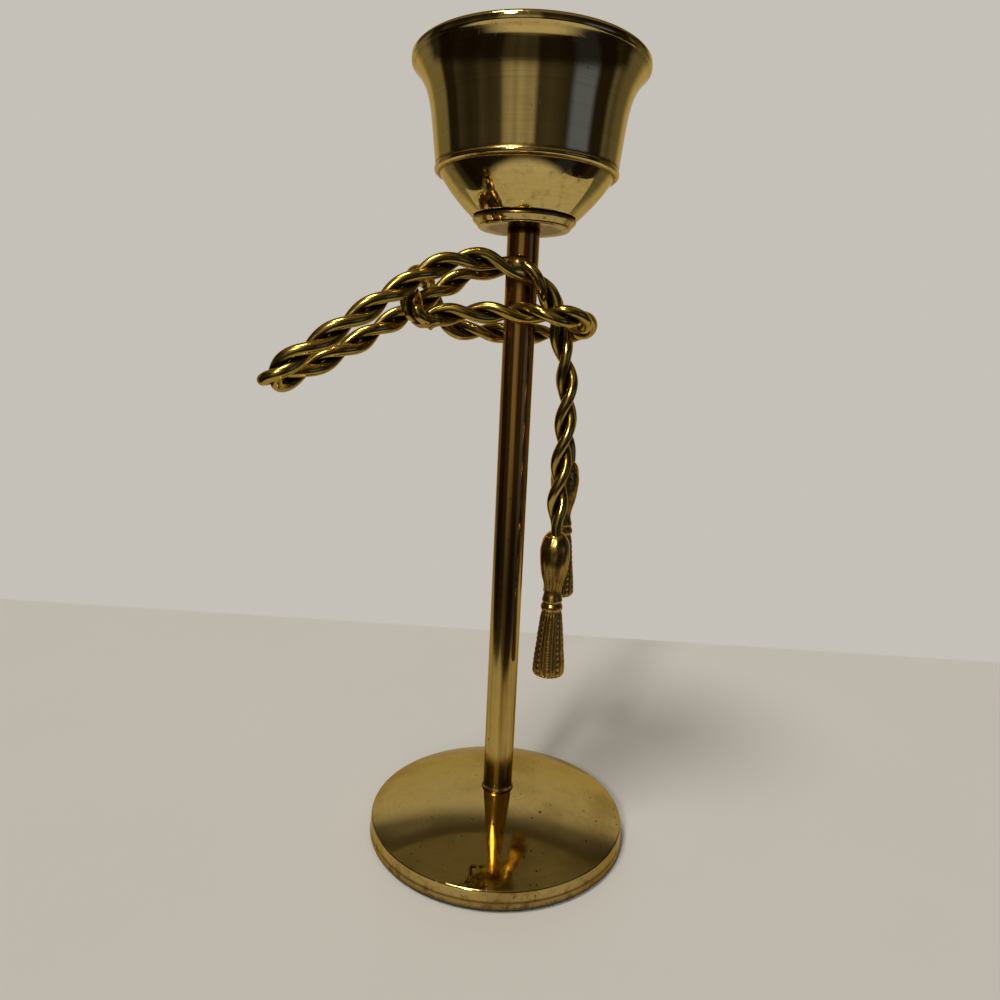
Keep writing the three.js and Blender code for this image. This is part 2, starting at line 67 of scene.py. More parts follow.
class CANDLESTICK_PG_shape(PropertyGroup):
    """Sizes of the visible surfaces, in metres."""

    facets: IntProperty(
        name="Facets round", description="Facets round each turned piece", default=208, min=48, max=512)
    foot_wall: FloatProperty(
        name="Foot wall", description="Thickness of the pressed foot", default=2.2 * MM, unit="LENGTH")
    band_height: FloatProperty(
        name="Foot band height", description="Height of the foot's side band", default=6.8 * MM,
        unit="LENGTH")
    band_taper: FloatProperty(
        name="Foot band taper", description="How far the band leans in at its top", default=0.55 * MM,
        unit="LENGTH")
    dome_rise: FloatProperty(
        name="Dome rise", description="Height of the dome over the band", default=10.2 * MM, unit="LENGTH")
    felt_fibres: IntProperty(
        name="Felt fibres", description="Loose fibres round the felt's edge", default=1500, min=1, max=5000)
    stem_radius: FloatProperty(
        name="Stem radius", description="Outer radius of the stem's tube", default=5.8 * MM, unit="LENGTH")
    stem_bore: FloatProperty(
        name="Stem bore", description="Inner radius of the stem's tube", default=4.6 * MM, unit="LENGTH")
    disc_bottom_radius: FloatProperty(
        name="Disc lower radius", description="Lower radius of the disc under the cup", default=16.5 * MM,
        unit="LENGTH")
    cup_wall: FloatProperty(
        name="Cup wall", description="Thickness of the cup's wall", default=1.7 * MM, unit="LENGTH")
    bowl_height: FloatProperty(
        name="Bowl height", description="Height of the cup's bowl", default=13.6 * MM, unit="LENGTH")
    bowl_radius: FloatProperty(
        name="Bowl radius", description="Radius of the bowl at its lower end", default=18.9 * MM,
        unit="LENGTH")
    bowl_taper: FloatProperty(
        name="Bowl taper", description="How much wider the bowl is at its upper end", default=11.5 * MM,
        unit="LENGTH")
    bowl_bulge: FloatProperty(
        name="Bowl bulge", description="How far the bowl stands out from a straight taper halfway up",
        default=0.9 * MM, unit="LENGTH")
    ledge_radius: FloatProperty(
        name="Ledge radius", description="Radius of the ledge between bowl and bell", default=32.3 * MM,
        unit="LENGTH")
    ledge_height: FloatProperty(
        name="Ledge height", description="Height of the ledge", default=2.1 * MM, unit="LENGTH")
    bell_radius: FloatProperty(
        name="Bell radius", description="Radius of the bell at its lower end", default=32 * MM, unit="LENGTH")
    bell_taper: FloatProperty(
        name="Bell taper", description="How much the bell widens evenly up to its lip", default=3.5 * MM,
        unit="LENGTH")
    bell_flare: FloatProperty(
        name="Bell flare", description="How much more it widens close under its lip", default=4.8 * MM,
        unit="LENGTH")
    lip_height: FloatProperty(
        name="Lip height", description="Height of the cup's lip", default=3.4 * MM, unit="LENGTH")
    wire_radius: FloatProperty(
        name="Wire radius", description="Radius of each wire of the ropes", default=1.93 * MM, unit="LENGTH")
    long_lay: FloatProperty(
        name="Long rope lay", description="Length of one full turn of the long rope's wires",
        default=29.6 * MM, unit="LENGTH")
    ring_lay: FloatProperty(
        name="Short rope lay", description="Length of one full turn of the short rope's wires",
        default=28.6 * MM, unit="LENGTH")
    strands: IntProperty(
        name="Tassel strands", description="Strands round each tassel", default=18, min=8, max=40)
    bead_pitch: FloatProperty(
        name="Bead pitch", description="Distance between beads along a strand of a tassel",
        default=2.1 * MM, unit="LENGTH")


class CANDLESTICK_PG_finish(PropertyGroup):
    """Colours and wear of the metals and the felt."""

    brass: FloatVectorProperty(
        name="Brass", description="Clean polished brass", subtype="COLOR", size=3, min=0.0, max=1.0,
        default=(0.66, 0.49, 0.165))
    # Tarnish is also the colour of the painted shade in hollows
    tarnish: FloatVectorProperty(
        name="Tarnish", description="Brown tarnish in hollows and under the lacquer", subtype="COLOR", size=3,
        min=0.0, max=1.0, default=(0.16, 0.085, 0.022))
    solder: FloatVectorProperty(
        name="Solder", description="Dull, browned hard solder", subtype="COLOR", size=3, min=0.0, max=1.0,
        default=(0.36, 0.25, 0.07))
    steel: FloatVectorProperty(
        name="Plated steel", description="Dull plating of the rod, washers and nuts", subtype="COLOR", size=3,
        min=0.0, max=1.0, default=(0.47, 0.46, 0.43))
    felt: FloatVectorProperty(
        name="Felt", description="Dark green felt under the foot", subtype="COLOR", size=3, min=0.0, max=1.0,
        default=(0.013, 0.034, 0.019))
    cast: FloatVectorProperty(
        name="Cast brass", description="Browned brass of the cast tassels", subtype="COLOR", size=3, min=0.0,
        max=1.0, default=(0.42, 0.26, 0.062))
    wear: FloatProperty(
        name="Wear", description="Amount of pits, hairlines and tarnish", default=1.0, min=0.0, max=2.0)


class CANDLESTICK_PG_stage(PropertyGroup):
    """Floor, background, screens and lamps."""

    floor: FloatVectorProperty(
        name="Floor", description="Colour of the pale floor", subtype="COLOR", size=3, min=0.0, max=1.0,
        default=(0.665, 0.653, 0.634))
    backdrop: FloatVectorProperty(
        name="Background", description="Colour of the world behind the candlestick", subtype="COLOR", size=3,
        min=0.0, max=1.0, default=(0.56, 0.53, 0.48))
    dark_screens: FloatVectorProperty(
        name="Screens", description="Colour of the darkest screens in front", subtype="COLOR", size=3,
        min=0.0, max=1.0, default=(0.008, 0.005, 0.003))
    ceiling: FloatVectorProperty(
        name="Overhead", description="Colour of the space overhead", subtype="COLOR", size=3,
        min=0.0, max=1.0, default=(0.17, 0.145, 0.095))
    cool_screen: FloatVectorProperty(
        name="Cool screen", description="Colour of the cool screen in front", subtype="COLOR", size=3,
        min=0.0, max=1.0, default=(0.125, 0.17, 0.42))
    floor_back: FloatProperty(
        name="Floor's back edge", description="How far behind the stem the table top ends", default=0.23,
        unit="LENGTH")
    lamp_strength: FloatProperty(
        name="Lamp strength", description="Strength that each lamp has a share of, in watts per square metre",
        default=2.1, min=0.0)


# Surfaces from arrays

def put_mesh(name, vertices, faces, material, attributes=None):
    """A new smooth object from a vertex array and a list of index arrays, one for each run of faces of one
    size. Attributes hold a value for each vertex."""
    mesh = bpy.data.meshes.new(name)
    loops = np.concatenate([f.ravel() for f in faces])
    sizes = np.concatenate([np.full(len(f), f.shape[1]) for f in faces])
    mesh.vertices.add(len(vertices))
    mesh.vertices.foreach_set("co", np.asarray(vertices, np.float32).ravel())
    mesh.loops.add(len(loops))
    mesh.loops.foreach_set("vertex_index", loops.astype(np.int32))
    mesh.polygons.add(len(sizes))
    mesh.polygons.foreach_set("loop_start", (np.cumsum(sizes) - sizes).astype(np.int32))
    mesh.polygons.foreach_set("use_smooth", np.ones(len(sizes), bool))
    mesh.update(calc_edges=True)
    for key, values in (attributes or {}).items():
        layer = mesh.attributes.new(key, "FLOAT", "POINT")
        layer.data.foreach_set("value", np.asarray(values, np.float32).ravel())
    mesh.materials.append(material)
    piece = bpy.data.objects.new(name, mesh)
    bpy.context.collection.objects.link(piece)
    return piece


def grid_faces(rows, columns, wrap_rows=False):
    """Quads of a grid of vertices, row after row, whose columns go round: corners (r, c), (r, c+1),
    (r+1, c+1) and (r+1, c). With wrapped rows the last row joins the first."""
    r = np.arange(rows if wrap_rows else rows - 1)[:, None]
    c = np.arange(columns)[None, :]
    r2, c2 = (r + 1) % rows, (c + 1) % columns
    corners = [r * columns + c, r * columns + c2, r2 * columns + c2, r2 * columns + c]
    return np.stack(np.broadcast_arrays(*corners), axis=-1).reshape(-1, 4)


def pole_faces(rows, columns, first_pole, last_pole):
    """Triangles that close a grid's first and last rows with a vertex each, facing the way its quads do."""
    c = np.arange(columns)
    c2 = (c + 1) % columns
    last = (rows - 1) * columns
    start = np.stack([c2, c, np.full(columns, first_pole)], axis=1)
    end = np.stack([last + c, last + c2, np.full(columns, last_pole)], axis=1)
    return np.concatenate([start, end])


def soften(outline, radius, parts=4):
    """Rounds each corner of a closed outline with a quadratic curve, (1-t)^2 A + 2t(1-t) P + t^2 B, where A
    and B lie a radius from the corner P on its two sides, or 0.45 of a side where that is nearer."""
    points = np.asarray(outline, float)
    before = np.roll(points, 1, axis=0) - points
    after = np.roll(points, -1, axis=0) - points
    reach = np.asarray(radius, float) * np.ones(len(points))
    most = 0.45
    a = points + before * np.minimum(reach / np.linalg.norm(before, axis=1), most)[:, None]
    b = points + after * np.minimum(reach / np.linalg.norm(after, axis=1), most)[:, None]
    t = np.linspace(0, 1, parts)[None, :, None]
    curve = (1 - t) ** 2 * a[:, None] + 2 * t * (1 - t) * points[:, None] + t ** 2 * b[:, None]
    return curve.reshape(-1, 2)


def evened(outline, step):
    """The same closed outline with each side cut into equal parts no longer than a step."""
    points = np.asarray(outline, float)
    side = np.roll(points, -1, axis=0) - points
    count = np.maximum(1, np.ceil(np.linalg.norm(side, axis=1) / step)).astype(int)
    which = np.repeat(np.arange(len(points)), count)
    share = (np.arange(count.sum()) - (np.cumsum(count) - count)[which]) / count[which]
    return points[which] + side[which] * share[:, None]


def round_grid(r, z, facets):
    """Each point (r, z) carried round +Z to (r cos a, r sin a, z), and the angles a."""
    a = np.linspace(0, 2 * np.pi, facets, endpoint=False)
    grid = np.stack([np.outer(r, np.cos(a)), np.outer(r, np.sin(a)), np.outer(z, np.ones(facets))], axis=-1)
    return grid, a


def turned(name, outline, facets, material, grime_and_shade=(), extra=None):
    """A ring of metal turned round +Z from a closed outline. Its shade_and_tarnish attribute, painted shade
    and tarnish, is the sum of exp(-distance / reach) from each grime_and_shade point (r, z, reach), held
    under 1. Extra changes the grid."""
    r, z = np.asarray(outline, float).T
    if np.sum(r * np.roll(z, -1) - np.roll(r, -1) * z) < 0:
        r, z = r[::-1], z[::-1]
    grid, a = round_grid(r, z, facets)
    if extra is not None:
        grid = extra(grid, a)
    # Painted shade and tarnish, strongest at each point and fading with distance from it
    shade_and_tarnish = sum((np.exp(-np.hypot(r - gr, z - gz) / reach) for gr, gz, reach in grime_and_shade), np.zeros(len(r)))
    shade_and_tarnish = np.repeat(np.clip(shade_and_tarnish, 0, 1), facets)
    faces = [grid_faces(len(r), facets, wrap_rows=True)[:, ::-1]]
    return put_mesh(name, grid.reshape(-1, 3) * MM, faces, material, {"shade_and_tarnish": shade_and_tarnish})


def pole_grid(outline, facets, extra):
    """Vertices, faces and an empty shade_and_tarnish attribute, for painted shade and tarnish, of a solid
    turned round +Z from its lower pole to its upper one: the outline's first and last points are on the axis,
    and the rest go round it."""
    r, z = outline[1:-1].T
    grid = extra(*round_grid(r, z, facets))
    poles = np.array([[0, 0, outline[0, 1]], [0, 0, outline[-1, 1]]])
    count = len(r) * facets
    faces = [grid_faces(len(r), facets), pole_faces(len(r), facets, count, count + 1)]
    vertices = np.concatenate([grid.reshape(-1, 3), poles])
    return vertices, faces, np.zeros(len(vertices))


def ripple(points, seed, waves=9, finest=1.0):
    """Smooth noise between about -1 and 1: the mean of sines along fixed random directions."""
    rng = np.random.default_rng(seed)
    directions = rng.normal(size=(waves, 3)) * np.linspace(0.35, 1, waves)[:, None] / finest
    phases = rng.uniform(0, 2 * np.pi, waves)
    return np.sin(points @ directions.T + phases).mean(axis=-1) * 2


# The ropes' routes

# Centre line of the long rope in millimetres, above the knot. It is the solid model's route, with its ends a
# little further down in the tassels
LONG_ROUTE = np.array([
    (17.7, -5, -82.7), (17.4, -5, -67.5), (18, -5, -52.5), (18.5, -5, -37.8), (18.3, -5, -22.8),
    (15.3, -5, -9.5), (12.4, -5.8, -0.2), (9.2, -8.2, 6.8), (4.6, -9.9, 11.6), (-1, -10.2, 14),
    (-7.3, -10.7, 15.4), (-14.4, -13.4, 16.2), (-25.5, -20.4, 13.2), (-36.4, -28.6, 5.3),
    (-46.1, -35.8, -2.8), (-56.1, -41.6, -11), (-64.4, -46, -17.6), (-71, -48.4, -22.6),
    (-75.2, -47, -25.8), (-76.4, -42.6, -27.6), (-74.2, -38.4, -27.2), (-69.5, -35.6, -24.8),
    (-63, -31.8, -20.6), (-55.4, -26.9, -15.5), (-46.1, -19.5, -8.2), (-37.2, -10.3, -1.1),
    (-29, -1.6, 6), (-20.6, 5.4, 12.6), (-9.5, 9.7, 16.2), (0, 10.1, 15.5), (8.4, 10.3, 9.5),
    (13, 11, 1.5), (16.2, 12, -9), (18.9, 14.5, -29), (20.1, 18.2, -43), (20.5, 19.5, -51.5),
    (20.5, 19.6, -58.2),
])
# Centre line of the short rope, from its joint round the stem and the hanging ends, back over the long rope
RING_ROUTE = np.array([
    (-29.6, -18.5, -4.5), (-26.8, -16.6, -3.5), (-22.6, -14.6, -2.5), (-15.1, -12.8, -1.8),
    (-6.5, -11, -1.2), (1.1, -11, -1), (9.2, -13.9, -1.4), (15.6, -14.3, -1.8), (21, -10.6, -2.2),
    (23.9, -2, -3), (24.5, 8.1, -4.2), (21.9, 18.6, -5.4), (14, 22, -6.2), (4, 17, -6.8),
    (-5, 12.4, -7.2), (-15, 12, -6.8), (-23.5, 12.6, -6.4), (-29.6, 13, -3.8), (-32.8, 12.4, 0.8),
    (-34.4, 9.5, 5.8), (-35.6, 3, 10), (-36.4, -5, 10.8), (-36.6, -12.5, 8.5), (-36.3, -18.2, 4.6),
    (-36, -21.2, 0.8), (-35.2, -22.4, -2.3), (-33.4, -21.8, -4.3), (-31, -19.8, -4.8),
])
# Distance between the two wires of a rope: they are pressed together by a hair
PAIR_GAP = -0.06
# How far the knot, where both routes have their zero height, lies under the stem's upper end
KNOT_DROP = 28.3


def smooth_route(points, per_span=60):
    """A centripetal Catmull-Rom curve through the points, all spans at once: each span is a cubic whose end
    slopes weigh the neighbouring chords by the square roots of their lengths."""
    ends = np.vstack([2 * points[0] - points[1], points, 2 * points[-1] - points[-2]])
    p0, p1, p2, p3 = ends[:-3], ends[1:-2], ends[2:-1], ends[3:]
    d0, d1, d2 = (np.sqrt(np.linalg.norm(b - a, axis=1))[:, None] for a, b in ((p0, p1), (p1, p2), (p2, p3)))
    m1 = ((p1 - p0) / d0 - (p2 - p0) / (d0 + d1) + (p2 - p1) / d1) * d1
    m2 = ((p2 - p1) / d1 - (p3 - p1) / (d1 + d2) + (p3 - p2) / d2) * d1
    t = np.linspace(0, 1, per_span, endpoint=False)[None, :, None]
    p1, p2, m1, m2 = (v[:, None] for v in (p1, p2, m1, m2))
    cubic = p1 + m1 * t + (3 * (p2 - p1) - 2 * m1 - m2) * t ** 2 + (2 * (p1 - p2) + m1 + m2) * t ** 3
    return np.vstack([cubic.reshape(-1, points.shape[1]), points[-1:]])


def even_stations(line, spacing):
    """The same line with its points at even distances, and the distance of each from the start."""
    along = np.concatenate([[0], np.cumsum(np.linalg.norm(np.diff(line, axis=0), axis=1))])
    distance = np.linspace(0, along[-1], int(round(along[-1] / spacing)) + 1)
    return np.stack([np.interp(distance, along, values) for values in line.T], axis=1), distance


def side_frames(line):
    """Tangents of a line and two unit sides. The first side is square to one fixed direction, the one of 400
    over half a ball that the line keeps furthest from. The second is square to the tangent and the first."""
    tangent = np.gradient(line, axis=0)
    tangent /= np.linalg.norm(tangent, axis=1)[:, None]
    tries = 400
    k = np.arange(tries) + 0.5
    height, turn = 1 - k / tries, k * np.pi * (1 + math.sqrt(5))
    across = np.sqrt(1 - height ** 2)
    ways = np.stack([across * np.cos(turn), across * np.sin(turn), height], axis=1)
    clear = ways[np.argmin(np.abs(tangent @ ways.T).max(axis=0))]
    side = np.cross(tangent, clear)
    side /= np.linalg.norm(side, axis=1)[:, None]
    return tangent, side, np.cross(tangent, side)


def least_twist_angle(tangent, side, other):
    """Angle from the side frame to the frame that turns least along the line: minus the running sum of the
    side frame's own twist. It starts square to the axis that the first tangent follows least."""
    twist = np.einsum("ij,ij->i", np.diff(side, axis=0), (other[1:] + other[:-1]) / 2)
    axis = np.eye(3)[np.argmin(np.abs(tangent[0]))]
    normal = np.cross(tangent[0], np.cross(tangent[0], axis))
    start = math.atan2(normal @ other[0], normal @ side[0])
    return start - np.concatenate([[0], np.cumsum(twist)])


def strands(route, knot_height, wire_radius, lay, looseness, turn, start, ramp):
    """The centre lines of a rope's two wires: helices of one lay round the route, half a turn apart. They
    run straight for a start, take up their turning over a ramp, and lie closer near the ends. Also gives,
    for each station, the unit direction from a wire to the route."""
    station, closing = 0.35, 8
    line, s = even_stations(smooth_route(route + (0, 0, knot_height)), station)
    tangent, side, other = side_frames(line)
    length = s[-1]

    def laid(x):
        """Length of full turning that a wire has had at a distance from its end."""
        eased = np.clip(x - start, 0, ramp)
        return eased ** 2 / (2 * ramp) + np.clip(x - start - ramp, 0, None)

    whole = length - 2 * start - ramp
    turned_length = np.where(s < length / 2, laid(s), whole - laid(length - s))
    angle = turn + 2 * np.pi * turned_length / lay + least_twist_angle(tangent, side, other)
    opened = np.clip(np.minimum(s, length - s) / closing, 0, 1)
    tight = wire_radius + PAIR_GAP / 2
    radius = tight + looseness * opened ** 2 * (3 - 2 * opened)
    lines = []
    for half in (0, np.pi):
        out = np.cos(angle + half)[:, None] * side + np.sin(angle + half)[:, None] * other
        lines.append((line + radius[:, None] * out, -out))
    return lines


def wire_surface(name, line, inward, radius, material, around=20):
    """A drawn wire: (station, angle) goes to the line plus its radius times a side vector turned by the
    angle. The ends close in a quarter circle, and shade_and_tarnish, a painted shade, is how squarely a side
    faces the rope's middle."""
    station, cap, dent = 0.55, 0.45, 0.01
    spread, s = even_stations(np.hstack([line, inward]), station)
    line, inward = spread[:, :3], spread[:, 3:]
    _, side, other = side_frames(line)
    inset = np.clip(1 - np.minimum(s, s[-1] - s) / cap, 0, 1)
    r = radius - cap * (1 - np.sqrt(np.clip(1 - inset ** 2, 0, 1)))
    r = r * (1 - dent * np.clip(ripple(line, 7, finest=6), 0, 1))
    a = np.linspace(0, 2 * np.pi, around, endpoint=False)
    out = side[:, None] * np.cos(a)[None, :, None] + other[:, None] * np.sin(a)[None, :, None]
    grid = line[:, None] + out * r[:, None, None]
    # Painted shade on the side that faces the other wire
    shade_and_tarnish = np.clip(1.5 * np.einsum("ijk,ik->ij", out, inward) + 0.1, 0, 1)
    count = len(line) * around
    vertices = np.concatenate([grid.reshape(-1, 3), line[:1], line[-1:]]) * MM
    faces = [grid_faces(len(line), around), pole_faces(len(line), around, count, count + 1)]
    return put_mesh(name, vertices, faces, material, {"shade_and_tarnish": np.concatenate([shade_and_tarnish.ravel(), [0, 0]])})


# Finishes

def put(tree, kind, inputs=(), **settings):
    """Adds a node to a tree; each input is either linked from a socket or set to a value."""
    made = tree.nodes.new("ShaderNode" + kind)
    for key, value in settings.items():
        setattr(made, key, value)
    for key, value in dict(inputs).items():
        if isinstance(value, bpy.types.NodeSocket):
            tree.links.new(value, made.inputs[key])
        else:
            made.inputs[key].default_value = value
    return made


def calc(tree, operation, *values, clamp=False):
    """The result of a Math node on sockets and numbers."""
    return put(tree, "Math", enumerate(values), operation=operation, use_clamp=clamp).outputs[0]


def times(tree, first, second, clamp=False):
    """Two values multiplied."""
    return calc(tree, "MULTIPLY", first, second, clamp=clamp)


def plus(tree, first, second, clamp=False):
    """Two values added."""
    return calc(tree, "ADD", first, second, clamp=clamp)


def larger(tree, first, second):
    """The larger of two values."""
    return calc(tree, "MAXIMUM", first, second)


def graded(tree, value, low, high, to_low=0.0, to_high=1.0):
    """A value carried smoothly from one range to another and held at its ends."""
    inputs = {"Value": value, "From Min": low, "From Max": high, "To Min": to_low, "To Max": to_high}
    return put(tree, "MapRange", inputs, interpolation_type="SMOOTHSTEP").outputs[0]


def mixed(tree, share, first, second):
    """One colour over another by a share. Each is a socket or three numbers, and inputs 6 and 7 of a Mix
    node are its colours."""
    made = put(tree, "Mix", {"Factor": share}, data_type="RGBA")
    for index, value in ((6, first), (7, second)):
        if isinstance(value, bpy.types.NodeSocket):
            tree.links.new(value, made.inputs[index])
        else:
            made.inputs[index].default_value = (*value, 1)
    return made.outputs[2]


def tinted(colour, *shares):
    """A colour times one share, or each of its three parts times a share of its own."""
    return tuple(np.array(colour) * shares)


def cloud(tree, where, scale, detail=3.0, roughness=0.55):
    """Fractal noise at a number of features a metre."""
    inputs = {"Vector": where, "Scale": scale, "Detail": detail, "Roughness": roughness}
    return put(tree, "TexNoise", inputs).outputs[0]


def new_finish(name):
    """An empty material with its shader, and Object coordinates to draw with."""
    material = bpy.data.materials.new(name)
    material.use_nodes = True
    tree = material.node_tree
    tree.nodes.clear()
    shader = put(tree, "BsdfPrincipled")
    out = put(tree, "OutputMaterial")
    tree.links.new(shader.outputs[0], out.inputs[0])
    return material, tree, shader, put(tree, "TexCoord").outputs["Object"]


# Features a metre of the noises in metal and felt
PIT_PATCHES = 24
CLOUDS = 38
WAVES = 110
MOTTLE = 260
BROWN_LINES = 420
LATHE_RINGS = 900
ROUGH_SKIN = 1500
FELT_PATCHES = 300
FELT_TANGLE = 2600
# Pits and specks: cells a metre, the size of a pit in cells, and the share of cells that have one
PITS = (270, 0.13, 0.3)
PATCHED_PITS = ((420, 0.22, 0.17), (230, 0.14, 0.16))
SPECKS = (900, 0.16, 0.16)
# Hairlines: features a metre, how the noise is turned in radians, and a line's width in its values
HAIRLINES = ((120, (0.3, 0.2, 0.5), 0.004), (210, (1.2, 0.4, 2.1), 0.005))
# Heights over the table, in metres, from which the stem starts to be browner and where it is fully so
BROWN_FROM = 0.09
BROWN_FULL = 0.15


def pits_at(tree, where, scale, size, share):
    """Ragged pits scattered one to a cell: 1 in their middles. A cell has one where its random number is
    under the share, its size follows the same number, and noise pushes its outline out of round."""
    push = put(tree, "TexNoise", {"Vector": where, "Scale": 4.0 * scale, "Detail": 2.0}).outputs["Color"]
    push = put(tree, "VectorMath", {0: push, 1: (0.5, 0.5, 0.5)}, operation="SUBTRACT").outputs[0]
    push = put(tree, "VectorMath", {0: push, "Scale": 0.35 / scale}, operation="SCALE").outputs[0]
    pushed = put(tree, "VectorMath", {0: where, 1: push}, operation="ADD").outputs[0]
    cells = put(tree, "TexVoronoi", {"Vector": pushed, "Scale": scale, "Randomness": 1.0})
    chance = put(tree, "SeparateColor", {"Color": cells.outputs["Color"]}).outputs[0]
    reach = graded(tree, chance, 0.0, share, size, 0.0)
    return graded(tree, calc(tree, "SUBTRACT", reach, cells.outputs["Distance"]), -0.01, 0.05)


def hairlines_at(tree, where, scale, turn, width):
    """Hairline scratches one way: lines where a turned and stretched noise crosses its middle, in patches."""
    drawn_out = put(tree, "Mapping", {"Vector": where, "Rotation": turn, "Scale": (1.0, 0.16, 1.0)})
    level = cloud(tree, drawn_out.outputs[0], scale, detail=1.0)
    line = graded(tree, calc(tree, "ABSOLUTE", calc(tree, "SUBTRACT", level, 0.5)), 0.0, width, 1.0, 0.0)
    patches = graded(tree, cloud(tree, where, scale * 0.45, detail=2.0), 0.52, 0.66)
    return times(tree, line, patches)


def lathe_lines(tree, where):
    """Noise of the distance from the axis and the height alone: fine rings round a turned piece."""
    split = put(tree, "SeparateXYZ", {"Vector": where}).outputs
    across = put(tree, "CombineXYZ", {"X": split[0], "Y": split[1]}).outputs[0]
    radius = put(tree, "VectorMath", {0: across}, operation="LENGTH").outputs["Value"]
    seat = put(tree, "CombineXYZ", {"X": radius, "Y": split[2]}).outputs[0]
    return cloud(tree, seat, LATHE_RINGS, detail=3.0, roughness=0.65)


def pitting(tree, where, pits, speckle, wear):
    """Masks of pits and of finer specks. With more than plain speckle there are larger pits in patches."""
    holes = times(tree, pits_at(tree, where, *PITS), pits * wear, clamp=True)
    if speckle > 1:
        for scale, size, share in PATCHED_PITS:
            holes = larger(tree, holes, pits_at(tree, where, scale, size, share * speckle))
        patches = graded(tree, cloud(tree, where, PIT_PATCHES), 0.4, 0.6, 0.25, 1.0)
        holes = times(tree, holes, patches)
    scale, size, share = SPECKS
    specks = times(tree, pits_at(tree, where, scale, size, share * speckle), 0.7 * pits * wear, clamp=True)
    return holes, specks


def browned(tree, where, base, colour, tarnish, share):
    """A base colour that gets browner up the stem, with red-brown lines along the height by a share, where a
    noise that is stretched 50 times upwards is high."""
    height = put(tree, "SeparateXYZ", {"Vector": where}).outputs["Z"]
    upper = graded(tree, height, BROWN_FROM, BROWN_FULL)
    base = mixed(tree, upper, base, tinted(colour, 0.8, 0.63, 0.52))
    drawn_up = put(tree, "Mapping", {"Vector": where, "Scale": (1.0, 1.0, 0.02)}).outputs[0]
    lines = graded(tree, cloud(tree, drawn_up, BROWN_LINES), 0.48, 0.64)
    return mixed(tree, times(tree, lines, share, clamp=True), base, tinted(tarnish, 1.4, 0.75, 0.6))


def unevenness(tree, where, waves, rough_skin):
    """Height of wide waves in a surface and, on a casting, of its grainy skin."""
    height = times(tree, cloud(tree, where, WAVES, detail=1.0), waves)
    if rough_skin:
        grainy = cloud(tree, where, ROUGH_SKIN, detail=4.0, roughness=0.65)
        height = plus(tree, height, times(tree, grainy, rough_skin))
    return height


def worn_metal(name, colour, tarnish, shine, wear, grime_and_shade=1.0, rings=0.0, pits=1.0, rough_skin=0.0,
               blotches=0.35, waves=0.5, speckle=1.0, streaks=0.0):
    """A metal with clouds of tarnish, grime and painted shade in hollows, pits, hairlines and, on turned
    pieces, fine rings. Shine is the roughness of its clean parts, and the rest are amounts, with 0 for none:
    blotches of tarnish, waves in the surface, specks, and streaks up a tube. The bump's height is in
    hundredths of a millimetre."""
    material, tree, shader, where = new_finish(name)
    shade_and_tarnish = put(tree, "Attribute", attribute_name="shade_and_tarnish").outputs["Fac"]
    clouds = graded(tree, cloud(tree, where, CLOUDS, detail=5.0), 0.42, 0.72)
    mottle = graded(tree, cloud(tree, where, MOTTLE, detail=4.0, roughness=0.7), 0.45, 0.75)
    # Painted shade in hollows from the attribute, mixed with real mottled dirt
    dirt_and_shade = graded(tree, plus(tree, shade_and_tarnish, times(tree, mottle, 0.3 + 0.05 * speckle)), 0.35, 1.15)
    stain = plus(tree, times(tree, clouds, blotches * wear), times(tree, mottle, 0.1 * speckle))
    holes, specks = pitting(tree, where, pits, speckle, wear)
    scratches = times(tree, larger(tree, *(hairlines_at(tree, where, *line) for line in HAIRLINES)), wear)
    height = unevenness(tree, where, waves, rough_skin)
    if rings:
        turning = lathe_lines(tree, where)
        stain = plus(tree, stain, times(tree, graded(tree, turning, 0.45, 0.65), rings))
        height = plus(tree, height, times(tree, turning, rings))

    stained = tuple(0.55 * c + 0.45 * t for c, t in zip(colour, tarnish))
    base = mixed(tree, stain, colour, stained)
    if streaks:
        base = browned(tree, where, base, colour, tarnish, streaks * wear)
    # Painted shade and dirt take the colour towards tarnish
    base = mixed(tree, times(tree, dirt_and_shade, grime_and_shade, clamp=True), base, tarnish)
    base = mixed(tree, holes, base, tinted(tarnish, 0.5))
    base = mixed(tree, specks, base, tinted(tarnish, 0.8))
    base = mixed(tree, times(tree, scratches, 0.3, clamp=True), base, tarnish)
    tree.links.new(base, shader.inputs["Base Color"])

    height = calc(tree, "SUBTRACT", height, times(tree, scratches, 0.35))
    height = calc(tree, "SUBTRACT", height, times(tree, larger(tree, holes, specks), 2.0))
    bump = put(tree, "Bump", {"Strength": 1.0, "Distance": 0.01 * MM, "Height": height})
    tree.links.new(bump.outputs[0], shader.inputs["Normal"])

    rough = plus(tree, times(tree, stain, 0.1), times(tree, dirt_and_shade, 0.25))
    rough = plus(tree, rough, times(tree, scratches, 0.1))
    tree.links.new(plus(tree, rough, shine, clamp=True), shader.inputs["Roughness"])
    shader.inputs["Metallic"].default_value = 1.0
    shader.inputs["Specular Tint"].default_value = (*(0.3 + 0.5 * c / max(colour) for c in colour), 1)
    return material


def turned_brass(name, look):
    """Bright brass with the fine rings of the lathe."""
    return worn_metal(name, tuple(look.brass), tuple(look.tarnish), 0.05, look.wear, rings=0.3, pits=0.5)


def foot_brass(name, look):
    """Polished brass that has been handled most: duller, blotched, and pitted in patches."""
    brass = tuple(0.74 * b + 0.2 * t for b, t in zip(look.brass, look.tarnish))
    return worn_metal(name, brass, tuple(look.tarnish), 0.035, look.wear, rings=0.1, pits=1.3, blotches=0.9,
                      speckle=2.8)


